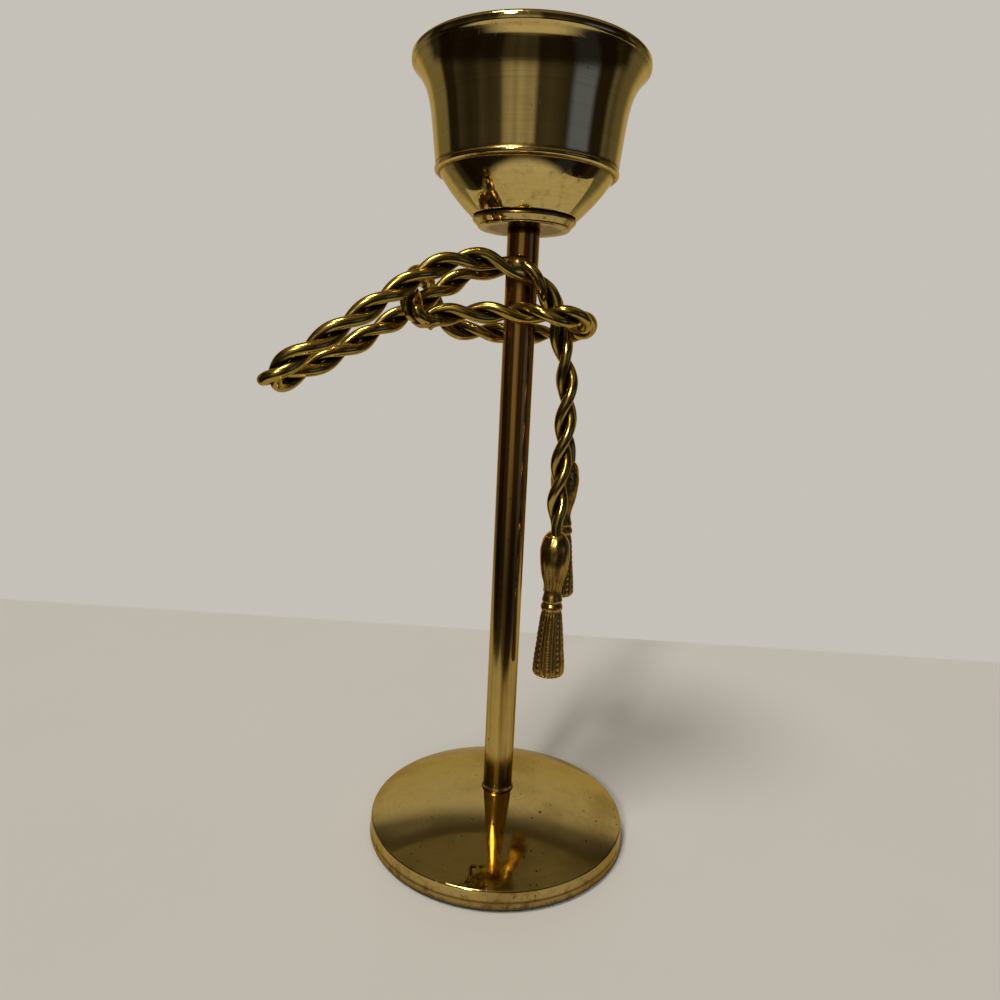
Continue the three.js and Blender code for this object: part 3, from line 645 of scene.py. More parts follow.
def tube_brass(name, look):
    """Drawn tube, browner in its upper part."""
    return worn_metal(name, tinted(look.brass, 0.8, 0.77, 0.62), tuple(look.tarnish), 0.13, look.wear,
                      rings=0.02, pits=0.7, waves=0.3, speckle=1.4, streaks=0.6)


def wire_brass(name, look):
    """Drawn wire, with painted shade in the hollows of its rope."""
    return worn_metal(name, tinted(look.brass, 0.69, 0.65, 0.42), tinted(look.tarnish, 0.5), 0.18, look.wear,
                      grime_and_shade=1.25, pits=0.3, blotches=0.6, waves=0.3)


def cast_brass(name, look):
    """Browned brass with the skin and the waves of a casting."""
    return worn_metal(name, tuple(look.cast), tuple(look.tarnish), 0.22, look.wear, pits=0.6, rough_skin=0.2,
                      blotches=0.8, waves=2.0)


def hard_solder(name, look):
    """Solder that ran and was never polished."""
    return worn_metal(name, tuple(look.solder), tuple(look.tarnish), 0.22, look.wear, pits=0.8,
                      rough_skin=0.15, blotches=0.8, waves=1.5)


def plated_steel(name, look):
    """Dull plating of the fixings inside, which tarnishes to a darker grey."""
    return worn_metal(name, tuple(look.steel), tinted(look.steel, 0.3), 0.28, look.wear, rings=0.3, pits=0.6)


def wool_felt(name, look):
    """Matted wool: mottled colour, a soft sheen and a tangle of short fibres in its bump."""
    material, tree, shader, where = new_finish(name)
    colour = tuple(look.felt)
    tangle = cloud(tree, where, FELT_TANGLE, detail=5.0, roughness=0.75)
    patches = cloud(tree, where, FELT_PATCHES)
    pale = tuple(min(1.0, 2.2 * c + 0.01) for c in colour)
    shade = plus(tree, times(tree, tangle, 0.7), times(tree, patches, 0.3))
    tree.links.new(mixed(tree, graded(tree, shade, 0.35, 0.7), colour, pale), shader.inputs["Base Color"])
    bump = put(tree, "Bump", {"Strength": 0.8, "Distance": 0.25 * MM, "Height": tangle})
    tree.links.new(bump.outputs[0], shader.inputs["Normal"])
    shader.inputs["Roughness"].default_value = 1.0
    shader.inputs["Sheen Weight"].default_value = 0.12
    return material


FINISHES = {
    "turned brass": turned_brass, "foot brass": foot_brass, "tube brass": tube_brass,
    "drawn brass": wire_brass, "cast brass": cast_brass, "solder": hard_solder,
    "plated steel": plated_steel, "felt": wool_felt,
}


def finish(key):
    """The material of one finish, made on its first use from the colours in the panel."""
    name = "candlestick " + key
    if name not in bpy.data.materials:
        FINISHES[key](name, bpy.context.scene.candlestick_finish)
    return bpy.data.materials[name]


# Pieces, in millimetres up to their meshes

# Radius of the holes that the rod passes through, and facets round the plainer turned pieces
ROD_HOLE = 3.2
STEM_FACETS = 128
WASHER_FACETS = 96
NUT_FACETS = 288


def settle(piece, slot, *nodes):
    """Hangs a piece on the root and hides the solids of the model that it stands for. Its slot is not used.
    """
    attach(piece, "root")
    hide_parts(*nodes)


def dome_height(radius, crease_radius, rise):
    """Height of the dome over its crease at a distance from the axis: a circle through crease and top."""
    ball = (crease_radius ** 2 + rise ** 2) / (2 * rise)
    return rise - ball + np.sqrt(ball ** 2 - np.asarray(radius) ** 2)


def foot_outline(size):
    """Closed outline of the pressed foot: dome, soft crease, side band with a fine scored line, and the same
    shape a wall's thickness inside, with a thicker seat for the rod. Also gives the scored line's height."""
    low, high = box_mm("base")
    radius, bottom, top = high[0], low[2], high[2]
    crease_r, crease_z = radius - size.band_taper / MM, bottom + size.band_height / MM
    rise, wall = size.dome_rise / MM, size.foot_wall / MM
    stem = box_mm("stem_tube")[1][0]
    seat, seat_thick = 11, 3
    dome = np.linspace(stem + 0.3, crease_r - 0.8, 60)
    score = bottom + 0.42 * size.band_height / MM
    band = [(radius - 0.2, score + 0.3), (radius - 0.26, score), (radius - 0.16, score - 0.3)]
    inner = radius - wall
    under = np.linspace(inner - 0.9, seat + 0.2, 30)
    outline = np.vstack([
        [(ROD_HOLE, top)], np.c_[dome, crease_z + dome_height(dome, crease_r, rise)],
        [(crease_r, crease_z)], band,
        [(radius, bottom + 0.5), (radius - 0.5, bottom), (inner, bottom), (inner - 0.4, crease_z - wall)],
        np.c_[under, crease_z - wall + dome_height(under, crease_r, rise)],
        [(seat, top - seat_thick), (ROD_HOLE, top - seat_thick)],
    ])
    crease = 1 + len(dome)
    reach = np.full(len(outline), 0.12)
    reach[crease] = 0.7
    reach[crease + 1:crease + 1 + len(band)] = 0.3
    return evened(soften(outline, reach), 0.9), score


def make_foot(size):
    """The pressed foot, darker round the stem and in the scored line, and with painted shade all over its
    side band and at its lower edge.
    """
    outline, score = foot_outline(size)
    low, high = box_mm("base")
    stem = box_mm("stem_tube")[1][0]
    # Painted shade over the side band and at its lower edge; darker round the stem and in the scored line
    grime_and_shade = [(stem, high[2], 0.8), (high[0] - 0.3, score, 0.3), (high[0], low[2], 1.3),
             (high[0] + 4, low[2] + 3, 4.5)]
    piece = turned("dressed_base", outline, size.facets, finish("foot brass"), grime_and_shade)
    settle(piece, "polished_brass", "base")


def felt_disc(radius, thick):
    """Vertices, faces and an empty shade_and_tarnish attribute of the felt disc, whose edge wanders in and
    out by a smooth noise.
    """
    outline = [(0, 0), (radius * 0.5, 0), (radius - 0.35, 0), (radius - 0.05, 0.3), (radius, 0.6),
               (radius - 0.1, 1.0), (radius - 0.5, thick), (radius * 0.5, thick), (0, thick)]

    def ragged(grid, a):
        """Moves the edge alone in and out, straight from the axis."""
        edge = np.clip(np.hypot(grid[..., 0], grid[..., 1]) - radius + 1, 0, 1)
        out = ripple(grid, 5, finest=0.35) * 0.12 - 0.12
        grid[..., 0] += edge * out * np.cos(a)
        grid[..., 1] += edge * out * np.sin(a)
        return grid

    return pole_grid(np.asarray(outline, float), 720, ragged)


def loose_fibres(radius, thick, reach_limit, count):
    """Vertices and faces of short bent fibres that stick out of the felt's edge, three-sided and thinner to
    their tips. A fibre starts at a random angle and height, goes outwards along a leaning line, and rises or
    sinks by the square of the way along it: start + s * out + s^2 * rise."""
    rng = np.random.default_rng(41)
    parts, sides, thickness = 5, 3, 0.035
    turn = rng.uniform(0, 2 * np.pi, count)
    lean = turn + rng.normal(0, 0.9, count)
    height = rng.uniform(0.15, thick - 0.15, count)
    length = rng.gamma(3.0, 0.13, count)
    rise = rng.normal(0, 0.35, count) * length
    s = np.linspace(0, 1, parts)
    root = radius - 0.25
    middle = np.empty((count, parts, 3))
    middle[..., 0] = root * np.cos(turn)[:, None] + np.outer(length * np.cos(lean), s)
    middle[..., 1] = root * np.sin(turn)[:, None] + np.outer(length * np.sin(lean), s)
    middle[..., 2] = np.clip(height[:, None] + np.outer(rise, s ** 2), 0.03, thick)
    reach = np.hypot(middle[..., 0], middle[..., 1])
    middle[..., :2] *= np.minimum(1, reach_limit / reach)[..., None]
    thin = thickness * (1 - 0.7 * s)[None, :, None]
    corner = 2 * np.pi * np.arange(sides) / sides
    across = np.stack([-np.sin(lean), np.cos(lean), np.zeros(count)], axis=1)
    ring = across[:, None, None] * np.cos(corner)[:, None] + np.array([0, 0, 1.0]) * np.sin(corner)[:, None]
    fibre = middle[:, :, None] + ring * thin[..., None]
    tip = (parts - 1) * sides
    ends = np.array([[2, 1, 0], [tip, tip + 1, tip + 2]])
    shift = parts * sides * np.arange(count)[:, None, None]
    faces = [(grid_faces(parts, sides) + shift).reshape(-1, 4), (ends + shift).reshape(-1, 3)]
    return fibre.reshape(-1, 3), faces


def make_felt(size):
    """The felt disc with its loose fibres, which stay close to the foot's edge."""
    high = box_mm("felt_pad")[1]
    radius, thick = high[0], high[2]
    vertices, faces, shade_and_tarnish = felt_disc(radius, thick)
    foot_radius = box_mm("base")[1][0]
    fibres, fibre_faces = loose_fibres(radius, thick, foot_radius + 0.35, size.felt_fibres)
    faces = faces + [part + len(vertices) for part in fibre_faces]
    vertices = np.concatenate([vertices, fibres]) * MM
    shade_and_tarnish = np.concatenate([shade_and_tarnish, np.zeros(len(fibres))])
    piece = put_mesh("dressed_felt", vertices, faces, finish("felt"), {"shade_and_tarnish": shade_and_tarnish})
    settle(piece, "felt", "felt_pad")


def make_stem(size):
    """The stem: a tube with a slightly spread foot, with painted shade where it meets the dome, the ring and
    the disc.
    """
    low, high = box_mm("stem_tube")
    radius, bore, flare = size.stem_radius / MM, size.stem_bore / MM, high[0]
    bottom, top = low[2], high[2]
    outline = [(bore, bottom), (flare, bottom), (flare, bottom + 0.7), (radius + 0.08, bottom + 1.3),
               (radius, bottom + 2.4), (radius, top), (bore, top)]
    outline = evened(soften(outline, 0.3), 1.6)
    over_knot = top - KNOT_DROP + 10
    # Painted shade at the foot, under the disc and under the ropes
    grime_and_shade = [(flare, bottom, 0.9), (radius, top, 1.2), (radius, over_knot, 3.2)]
    piece = turned("dressed_stem", outline, STEM_FACETS, finish("tube brass"), grime_and_shade)
    settle(piece, "polished_brass", "stem_tube")


def make_disc(size):
    """The disc under the cup: a side that widens upwards with two fine edges, and a flat underside, which is
    dull all over. It has painted shade in the groove under the cup, round the stem and all over the
    underside."""
    low, high = box_mm("cup_foot")
    lower, upper = size.disc_bottom_radius / MM, high[0]
    bottom, top = low[2], high[2]
    outline = [(ROD_HOLE, bottom), (lower - 0.5, bottom), (lower, bottom + 0.35),
               (lower + 0.12, bottom + 0.8), (upper - 0.12, top - 1.0), (upper, top - 0.55),
               (upper - 0.2, top), (ROD_HOLE, top)]
    outline = evened(soften(outline, 0.22), 0.8)
    # Painted shade in the groove under the cup, round the stem and over the whole underside
    grime_and_shade = [(upper - 0.2, top + 0.1, 0.7), (size.stem_radius / MM, bottom, 2.0), (11, bottom - 0.5, 9)]
    piece = turned("dressed_disc", outline, size.facets, finish("turned brass"), grime_and_shade)
    settle(piece, "polished_brass", "cup_foot")


def cup_outline(size):
    """Closed outline of the cup and the points (r, z, reach) of its painted shade. The bowl is a straight
    taper with a parabola's bulge. The bell widens in proportion to its height, and by a sixth power close to
    the lip."""
    low, high = box_mm("cup")
    bottom, top, lip = low[2], high[2], high[0]
    neck, groove, floor_thick = 17.4, 0.5, 4.4
    wall, lip_z = size.cup_wall / MM, top - size.lip_height / MM
    bowl_z = bottom + groove
    ledge_z = bowl_z + size.bowl_height / MM
    bell_z = ledge_z + size.ledge_height / MM
    t = np.linspace(0, 1, 30)
    bowl_r, bell_r = size.bowl_radius / MM, size.bell_radius / MM
    bowl = bowl_r + size.bowl_taper / MM * t + 4 * size.bowl_bulge / MM * t * (1 - t)
    bell = bell_r + size.bell_taper / MM * t + size.bell_flare / MM * t ** 6
    bowl_height = bowl_z + (ledge_z - bowl_z) * t
    bell_height = bell_z + (lip_z - bell_z) * t
    ledge = size.ledge_radius / MM
    bead = [(ledge - 0.4, ledge_z + 0.25), (ledge, ledge_z + 0.7), (ledge, ledge_z + 1.5),
            (ledge - 0.35, bell_z)]
    rim = [(lip - 0.75, lip_z), (lip, lip_z + 0.7), (lip, top - 0.9), (lip - 0.7, top)]
    outer = np.vstack([
        [(ROD_HOLE, bottom), (neck, bottom), (neck, bowl_z - 0.15)], np.c_[bowl, bowl_height], bead,
        np.c_[bell, bell_height][1:-1], rim,
    ])
    floor = bottom + floor_thick
    under_ledge, over_floor = 24, 10
    inside = np.vstack([
        [(lip - wall, top)], np.c_[bell - wall, bell_height][-2::-1],
        np.c_[bowl - wall, bowl_height][under_ledge:over_floor:-1],
        [(bowl_r - wall, floor), (ROD_HOLE, floor)],
    ])
    # Painted shade in the groove over the disc, under the ledge, at the foot of the bell, under the lip, on
    # the floor inside and over the bowl's lower outside
    grime_and_shade = [(neck, bowl_z - 0.2, 0.5), (ledge - 1.7, ledge_z, 0.5), (bell_r - 0.1, bell_z, 0.6),
             (lip - 1.3, lip_z, 0.8), (bowl_r - wall, floor + 0.1, 2.5), (5, floor + 0.1, 3),
             (33, bowl_z + 3, 8)]
    return evened(soften(np.vstack([outer, inside]), 0.28, parts=3), 0.85), grime_and_shade


def make_cup(size):
    """The turned cup: bowl, ledge with a bead, bell and a rounded lip, with painted shade under ledge and lip
    and over the bowl.
    """
    outline, grime_and_shade = cup_outline(size)
    piece = turned("dressed_cup", outline, size.facets, finish("turned brass"), grime_and_shade)
    settle(piece, "polished_brass", "cup")


def make_rod():
    """The rod: plain inside the stem and threaded where its upper end stands in the cup. The thread is a
    rounded groove that goes once round in a pitch: r = R - depth * (0.5 - 0.5 cos(2 pi z / pitch - a))."""
    low, high = box_mm("tie_rod")
    radius, bottom, top = high[0], low[2], high[2]
    thread_length, pitch, thread_depth, chamfer = 13, 1.0, 0.42, 0.5
    plain = np.array([bottom, bottom + chamfer, bottom + 12, top - thread_length - 1])
    thread = np.linspace(top - thread_length, top - chamfer, 110)
    z = np.concatenate([plain, thread, [top]])
    r = np.full(len(z), radius)
    r[0] = r[-1] = radius - chamfer
    outline = np.vstack([[(0, bottom)], np.c_[r, z], [(0, top)]])

    def cut(grid, a):
        """Cuts the thread, which runs in at its lower end and out at its top."""
        x, y, height = grid[..., 0], grid[..., 1], grid[..., 2]
        run_in = np.clip((height - top + thread_length) / 1.5, 0, 1)
        run_out = np.clip((top + 0.3 - height) / 0.8, 0, 1)
        wave = 0.5 - 0.5 * np.cos(2 * np.pi * height / pitch - a)
        share = 1 - thread_depth * run_in * run_out * wave / radius
        return np.stack([x * share, y * share, height], axis=-1)

    vertices, faces, shade_and_tarnish = pole_grid(outline, 72, cut)
    piece = put_mesh("dressed_rod", vertices * MM, faces, finish("plated steel"), {"shade_and_tarnish": shade_and_tarnish})
    settle(piece, "plated_steel", "tie_rod")


def make_washer(node):
    """A stamped washer with one soft edge and one sharper one."""
    low, high = box_mm(node)
    outline = [(ROD_HOLE, low[2]), (high[0], low[2]), (high[0], high[2]), (ROD_HOLE, high[2])]
    outline = evened(soften(outline, [0.1, 0.12, 0.35, 0.2]), 0.8)
    piece = turned("dressed_" + node, outline, WASHER_FACETS, finish("plated steel"), [(6.0, high[2], 0.6)])
    settle(piece, "plated_steel", node)


def make_nut(node):
    """A hexagon nut: each ring of a turned outline is pressed in to the hexagon, r = min(r, half / cos(a from
    the middle of its flat)), so that the turned chamfers cut its corners into curves."""
    low, high = box_mm(node)
    half, corner, bottom, top = high[1], high[0], low[2], high[2]
    bore = 3.0
    outline = [(bore, bottom), (half - 0.25, bottom), (corner, bottom + 0.5), (corner, top - 0.5),
               (half - 0.25, top), (bore + 0.5, top), (bore, top - 0.5)]
    outline = evened(soften(outline, 0.08), 0.3)

    def press(grid, a):
        """Presses what stands over the six flats in to them."""
        x, y = grid[..., 0], grid[..., 1]
        from_flat = a % (np.pi / 3) - np.pi / 6
        share = np.minimum(1, half / np.cos(from_flat) / np.hypot(x, y))
        return np.stack([x * share, y * share, grid[..., 2]], axis=-1)

    grime_and_shade = [(bore + 0.2, top, 0.5)]
    piece = turned("dressed_" + node, outline, NUT_FACETS, finish("plated steel"), grime_and_shade, press)
    settle(piece, "plated_steel", node)


def make_rope(nodes, route, size, lay, **laying):
    """The two wires of a rope, with painted shade on the sides that face each other."""
    knot = box_mm("stem_tube")[1][2] - KNOT_DROP
    radius = size.wire_radius / MM
    lines = strands(route, knot, radius, lay / MM, **laying)
    for node, (line, inward) in zip(nodes, lines):
        piece = wire_surface("dressed_" + node, line, inward, radius, finish("drawn brass"))
        settle(piece, "wire_brass", node)


def make_ropes(size):
    """The long rope, whose wires leave the tassels side by side, and the short one, turned to lie as in the
    photograph."""
    make_rope(("long_wire_a", "long_wire_b"), LONG_ROUTE, size, size.long_lay,
              looseness=0.04, turn=0.0, start=4.0, ramp=6.0)
    make_rope(("ring_wire_a", "ring_wire_b"), RING_ROUTE, size, size.ring_lay,
              looseness=0.03, turn=1.85, start=0.0, ramp=0.1)


def make_lump(node, shift, share, seed, drips):
    """A lump of solder: a ball scaled to three half sizes, which are a share of the solid's, its middle
    moved by a shift and its surface moved in and out by smooth noise. Each drip (place along it, depth,
    width) pulls its underside down by a bell curve."""
    low, high = box_mm(node)
    rows, columns = 64, 96
    v, u = np.meshgrid(np.linspace(0, np.pi, rows + 2)[1:-1],
                       np.linspace(0, 2 * np.pi, columns, endpoint=False), indexing="ij")
    ball = np.stack([np.sin(v) * np.cos(u), np.sin(v) * np.sin(u), -np.cos(v)], axis=-1)
    poles = np.array([[0, 0, -1.0], [0, 0, 1.0]])
    points = np.concatenate([ball.reshape(-1, 3), poles])
    bumps = 1 + 0.07 * ripple(points * 2.6, seed) + 0.02 * ripple(points * 7, seed + 1)
    placed = points * ((high - low) / 2 * share) * bumps[:, None]
    for along, depth, width in drips:
        bell = np.exp(-((placed[:, 0] - along) / width) ** 2)
        placed[:, 2] -= depth * bell * np.clip(-points[:, 2], 0, 1)
    count = rows * columns
    faces = [grid_faces(rows, columns), pole_faces(rows, columns, count, count + 1)]
    shade_and_tarnish = np.clip(0.45 * ripple(points * 5, seed + 2), 0, 1)
    vertices = (placed + (low + high) / 2 + shift) * MM
    piece = put_mesh("dressed_" + node, vertices, faces, finish("solder"), {"shade_and_tarnish": shade_and_tarnish})
    settle(piece, "solder", node)


def make_solder():
    """The two soldered joints: the stem's fills the valley between the wires, just behind their fronts, and
    the ring's is wider and shallower than its solid."""
    make_lump("solder_stem", (-1.3, -0.6, 0.0), (0.78, 0.98, 0.85), 11,
              drips=((-1.5, 0.5, 1.8), (2.6, 0.9, 1.6)))
    make_lump("solder_ring", (-0.4, 0.0, 0.6), (1.2, 1.05, 0.85), 23,
              drips=((-2.6, 0.3, 1.1), (1.3, 0.8, 0.8)))


# Distance down a tassel, its radius there, and how deep its strands and its beads are, as shares. The rows
# run down the round bulb, its narrow neck, two bands and the skirt
TASSEL_ROWS = np.array([
    (-0.5, 2.6, 0, 0), (0.1, 3.3, 0, 0), (1.0, 4.05, 0, 0), (2.2, 4.7, 0, 0), (3.8, 5.25, 0, 0),
    (5.8, 5.6, 0, 0), (8.4, 5.7, 0.03, 0), (12, 5.4, 0.1, 0), (16, 4.7, 0.25, 0), (19.2, 3.8, 0.45, 0),
    (21.4, 3.35, 0.4, 0), (23.0, 3.3, 0.2, 0), (24.6, 3.7, 0, 0), (25.8, 3.95, 0, 0), (26.6, 3.6, 0, 0),
    (28.0, 4.2, 0, 0), (29.2, 4.15, 0, 0), (30.0, 3.75, 0.4, 0), (31.5, 4.15, 0.9, 0.6), (36, 4.7, 1, 1),
    (42, 5.25, 1, 1), (48, 5.85, 1, 1), (53.0, 6.25, 1, 1), (54.6, 6.1, 0.8, 0.5), (55.5, 5.2, 0.4, 0),
    (55.7, 3.5, 0, 0),
])
# Distances down to the grooves over, between and under the two bands, and how far the darkening in each
# spreads
TASSEL_GROOVES = ((23.3, 0.5), (26.6, 0.4), (30, 0.5))


def tassel_relief(down, a, count, pitch, seed):
    """Crests of the strands, and gaps between their beads, at each distance down and angle. A crest is
    |sin(count * angle / 2)| to a power, along lines that sway a little. The beads lie on every other strand,
    and the gaps between them are a cosine of the distance down."""
    sway = 0.12 * np.sin(down / 9 + seed)
    phase = count * (a[None, :] + sway[:, None]) / 2
    crest = np.abs(np.sin(phase)) ** 0.7
    strand = np.floor(phase / np.pi)
    bead = 0.5 + 0.5 * np.cos(2 * np.pi * (down[:, None] / pitch + 0.37 * strand))
    return crest, (strand % 2) * (1 - bead)


def make_tassel(node, size, seed):
    """A cast tassel: (distance down, angle) goes to a radius that is the outline less the valleys between its
    strands and the gaps between their beads, plus smooth noise, strongest near its top, where the casting is
    uneven. Valleys, gaps and the grooves of the bands are dark, and the lower part of the bulb has painted
    shade."""
    low, high = box_mm(node)
    middle, top = (low[:2] + high[:2]) / 2, high[2]
    rows, _ = even_stations(smooth_route(TASSEL_ROWS, 24), 0.3)
    down, radius, flute, bead = rows.T
    flute, bead = np.clip(flute, 0, 1)[:, None], np.clip(bead, 0, 1)[:, None]
    strand_depth, bead_depth, shrink, columns = 0.38, 0.17, 0.06, 288
    a = np.linspace(0, 2 * np.pi, columns, endpoint=False)
    crest, between = tassel_relief(down, a, size.strands, size.bead_pitch / MM, seed)
    valley, gap = flute * (1 - crest), bead * between

    around, ones = np.ones((len(down), 1)), np.ones(columns)
    where = np.stack([np.cos(a) * around, np.sin(a) * around, down[:, None] / 6 * ones], axis=-1)
    melted = np.exp(-((down[:, None] - 4) / 4) ** 2)
    uneven = 0.09 * ripple(where * 2.2, seed) + (0.05 + 0.1 * melted) * ripple(where * 7, seed + 1)
    r = radius[:, None] - strand_depth * valley - bead_depth * gap * crest - shrink
    r += uneven * np.clip(down + 1.5, 0, 1)[:, None]
    z = np.broadcast_to((top - down)[:, None], r.shape)
    grid = np.stack([middle[0] + r * np.cos(a), middle[1] + r * np.sin(a), z], axis=-1)[::-1]

    poles = np.array([[*middle, top - down[-1]], [*middle, top - down[0]]])
    count = len(down) * columns
    faces = [grid_faces(len(down), columns), pole_faces(len(down), columns, count, count + 1)]
    grooves = sum(np.exp(-np.abs(down - place) / spread) for place, spread in TASSEL_GROOVES)
    # Painted shade on the lower part of the bulb, which faces down
    painted_shade_lower_bulb = 0.62 * np.exp(-((down - 17) / 5.5) ** 2)
    dark = np.clip(1.2 * valley + 0.3 * gap, 0, 1) + (0.8 * grooves + painted_shade_lower_bulb)[:, None]
    shade_and_tarnish = np.concatenate([np.clip(dark, 0, 1)[::-1].ravel(), [0, 0]])
    vertices = np.concatenate([grid.reshape(-1, 3), poles]) * MM
    piece = put_mesh("dressed_" + node, vertices, faces, finish("cast brass"), {"shade_and_tarnish": shade_and_tarnish})
    settle(piece, "cast_brass", node)


# Stage

# World brightness round the object near the horizon: degrees from straight in front (-Y) up towards the
# right (+X), and the share of the wall's brightness there. The wall is pale behind and dimmer towards the
# sides, and the screens in front are dark but for a pale one between -26 and 6 degrees.
AROUND = (
    (-141, 1.0), (-132, 0.4), (-107, 0.34), (-102, 0.02), (-89, 0.02), (-84, 0.07), (-70, 0.035),
    (-58, 0.05), (-53, 0.1), (-44, 0.06), (-31, 0.09), (-26, 0.5), (-19, 0.66), (-14, 0.48), (-9, 0.72),
    (-1, 0.52), (6, 0.6), (11, 0.07), (25, 0.1), (44, 0.04), (81, 0.02), (96, 0.02), (102, 0.22),
    (110, 0.12), (118, 0.22), (134, 0.28), (147, 1.0),
)
# How much a direction rises for its reach back where the wall behind ends, and where the cove over it ends
WALL_SLOPE = 1.33
COVE_SLOPE = 1.66
# Each lamp's direction, in degrees round as above and up, its share of the lamp strength, and its width in
# degrees
LAMPS = {
    "key_lamp": ((-38, 65), 0.73, 19),
    "front_lamp": ((-19, 31), 0.5, 8),
}
LAMP_COLOUR = (1.0, 0.96, 0.88)
# The floor's front corners, and for its left and right sides their X at no depth and how much they spread for
# each unit of depth
FLOOR_FRONT = ((-0.086, -0.186), (0.228, -0.092))
FLOOR_SIDES = ((-0.223, -0.742), (0.3, 0.82))
# The camera's place in millimetres, its yaw, pitch and roll in degrees, and its lens and sensor in
# millimetres
CAMERA_PLACE = (10.67, -279.8, 185.41)
CAMERA_TURN = (-3.033, -10.107, 2.585)
CAMERA_LENS = 27.04
CAMERA_SENSOR = 36.0


def share_around(tree, angle, away, up):
    """The share of the wall's brightness in a direction: the ramp round the object, dimmer a little below
    the horizon and a little above it, but not on the wall behind."""
    ramp = put(tree, "ValToRGB", {"Fac": calc(tree, "MULTIPLY_ADD", angle, 0.5 / math.pi, 0.5)})
    stops = ramp.color_ramp.elements
    for end in (stops[0], stops[-1]):
        end.color = (1, 1, 1, 1)
    for degrees, share in AROUND:
        stops.new(degrees / 360 + 0.5).color = (share, share, share, 1)
    below = larger(tree, graded(tree, up, -0.29, -0.08, 0.12, 1.0), graded(tree, away, 0.3, 0.5))
    above = larger(tree, graded(tree, up, 0.24, 0.4, 1.0, 0.3), graded(tree, away, 0.55, 0.75))
    return times(tree, times(tree, ramp.outputs["Color"], below), above)


def cool_share(tree, turn, up):
    """How far a direction is on the cool screen, from 44 to 81 degrees round and up to about 19 degrees."""
    share = times(tree, graded(tree, turn, 44, 54), graded(tree, turn, 72, 81, 1.0, 0.0))
    share = times(tree, share, graded(tree, up, -0.3, -0.05, 0.1, 1.0))
    return times(tree, share, graded(tree, up, 0.2, 0.32, 1.0, 0.0))


def make_world(stage):
    """A studio round the object, by the parts of a direction that point right, away from the camera and up.
    The wall behind ends at its slope, under a dark cove. The screens in front end about 35 degrees up, under
    the space overhead. One screen is cool, and straight down is pale."""
    world = bpy.data.worlds.new("studio")
    bpy.context.scene.world = world
    world.use_nodes = True
    tree = world.node_tree
    tree.nodes.clear()
    direction = put(tree, "TexCoord").outputs["Generated"]
    right, away, up = put(tree, "SeparateXYZ", {"Vector": direction}).outputs
    angle = calc(tree, "ARCTAN2", right, times(tree, away, -1.0))
    turn = times(tree, angle, 180 / math.pi)
    share = share_around(tree, angle, away, up)
    shade = mixed(tree, share, tuple(stage.dark_screens), tuple(stage.backdrop))
    shade = mixed(tree, cool_share(tree, turn, up), shade, tuple(stage.cool_screen))
    straight_down = graded(tree, up, -0.82, -0.72, 1.0, 0.0)
    shade = mixed(tree, straight_down, shade, tuple(stage.backdrop))

    over_wall = calc(tree, "SUBTRACT", times(tree, away, WALL_SLOPE), up)
    over_cove = calc(tree, "SUBTRACT", times(tree, away, COVE_SLOPE), up)
    cove = graded(tree, over_cove, -0.03, 0.03)
    overhead = mixed(tree, cove, tuple(stage.ceiling), tinted(stage.ceiling, 0.5))
    low = larger(tree, graded(tree, over_wall, -0.08, 0.08), graded(tree, up, 0.5, 0.68, 1.0, 0.0))
    shade = mixed(tree, low, overhead, shade)
    background = put(tree, "Background", {"Color": shade, "Strength": 1.0})
    out = put(tree, "OutputWorld")
    tree.links.new(background.outputs[0], out.inputs[0])


def add_lamp(name, strength):
    """One of the two far soft lamps, which shines from its direction."""
    (around, height), share, width = LAMPS[name]
    lamp = bpy.data.lights.new(name, "SUN")
    lamp.energy = share * strength
    lamp.angle = math.radians(width)
    lamp.color = LAMP_COLOUR
    made = bpy.data.objects.new(name, lamp)
    bpy.context.collection.objects.link(made)
    a, h = math.radians(around), math.radians(height)
    place = Vector((math.sin(a) * math.cos(h), -math.cos(a) * math.cos(h), math.sin(h)))
    made.location = place * 2
    made.rotation_euler = place.to_track_quat("Z", "Y").to_euler()


def make_floor(stage):
    """A pale flat table top. Its sides spread towards the back, and its front edge runs askew, nearer to the
    object on the right."""
    back = stage.floor_back
    back_corners = [(start + spread * back, back) for start, spread in FLOOR_SIDES]
    corners = np.array([(x, y, 0) for x, y in (*FLOOR_FRONT, *reversed(back_corners))])
    material, tree, shader, where = new_finish("floor")
    tone = graded(tree, cloud(tree, where, 6, detail=4.0), 0.3, 0.7)
    pale = mixed(tree, tone, tinted(stage.floor, 0.985), tuple(stage.floor))
    tree.links.new(pale, shader.inputs["Base Color"])
    shader.inputs["Roughness"].default_value = 0.6
    shader.inputs["Specular IOR Level"].default_value = 0.15
    put_mesh("floor", corners, [np.array([[0, 1, 2, 3]])], material)


def make_camera():
    """The camera at the photograph's place and angle: yaw, pitch and roll turn it from looking along +Y."""
    yaw, pitch, roll = (math.radians(v) for v in CAMERA_TURN)
    ahead = Vector((math.sin(yaw) * math.cos(pitch), math.cos(yaw) * math.cos(pitch), math.sin(pitch)))
    level = Vector((math.cos(yaw), -math.sin(yaw), 0))
    upward = level.cross(ahead)
    right = math.cos(roll) * level + math.sin(roll) * upward
    up = -math.sin(roll) * level + math.cos(roll) * upward
    lens = bpy.data.cameras.new("camera")
    lens.sensor_fit = "HORIZONTAL"
    lens.sensor_width = CAMERA_SENSOR
    lens.lens = CAMERA_LENS
    lens.clip_start = 0.01
    camera = bpy.data.objects.new("camera", lens)
    bpy.context.collection.objects.link(camera)
    turn = Matrix((right, up, -ahead)).transposed()
    camera.matrix_world = Matrix.Translation(Vector(CAMERA_PLACE) * MM) @ turn.to_4x4()
    bpy.context.scene.camera = camera


# Operators

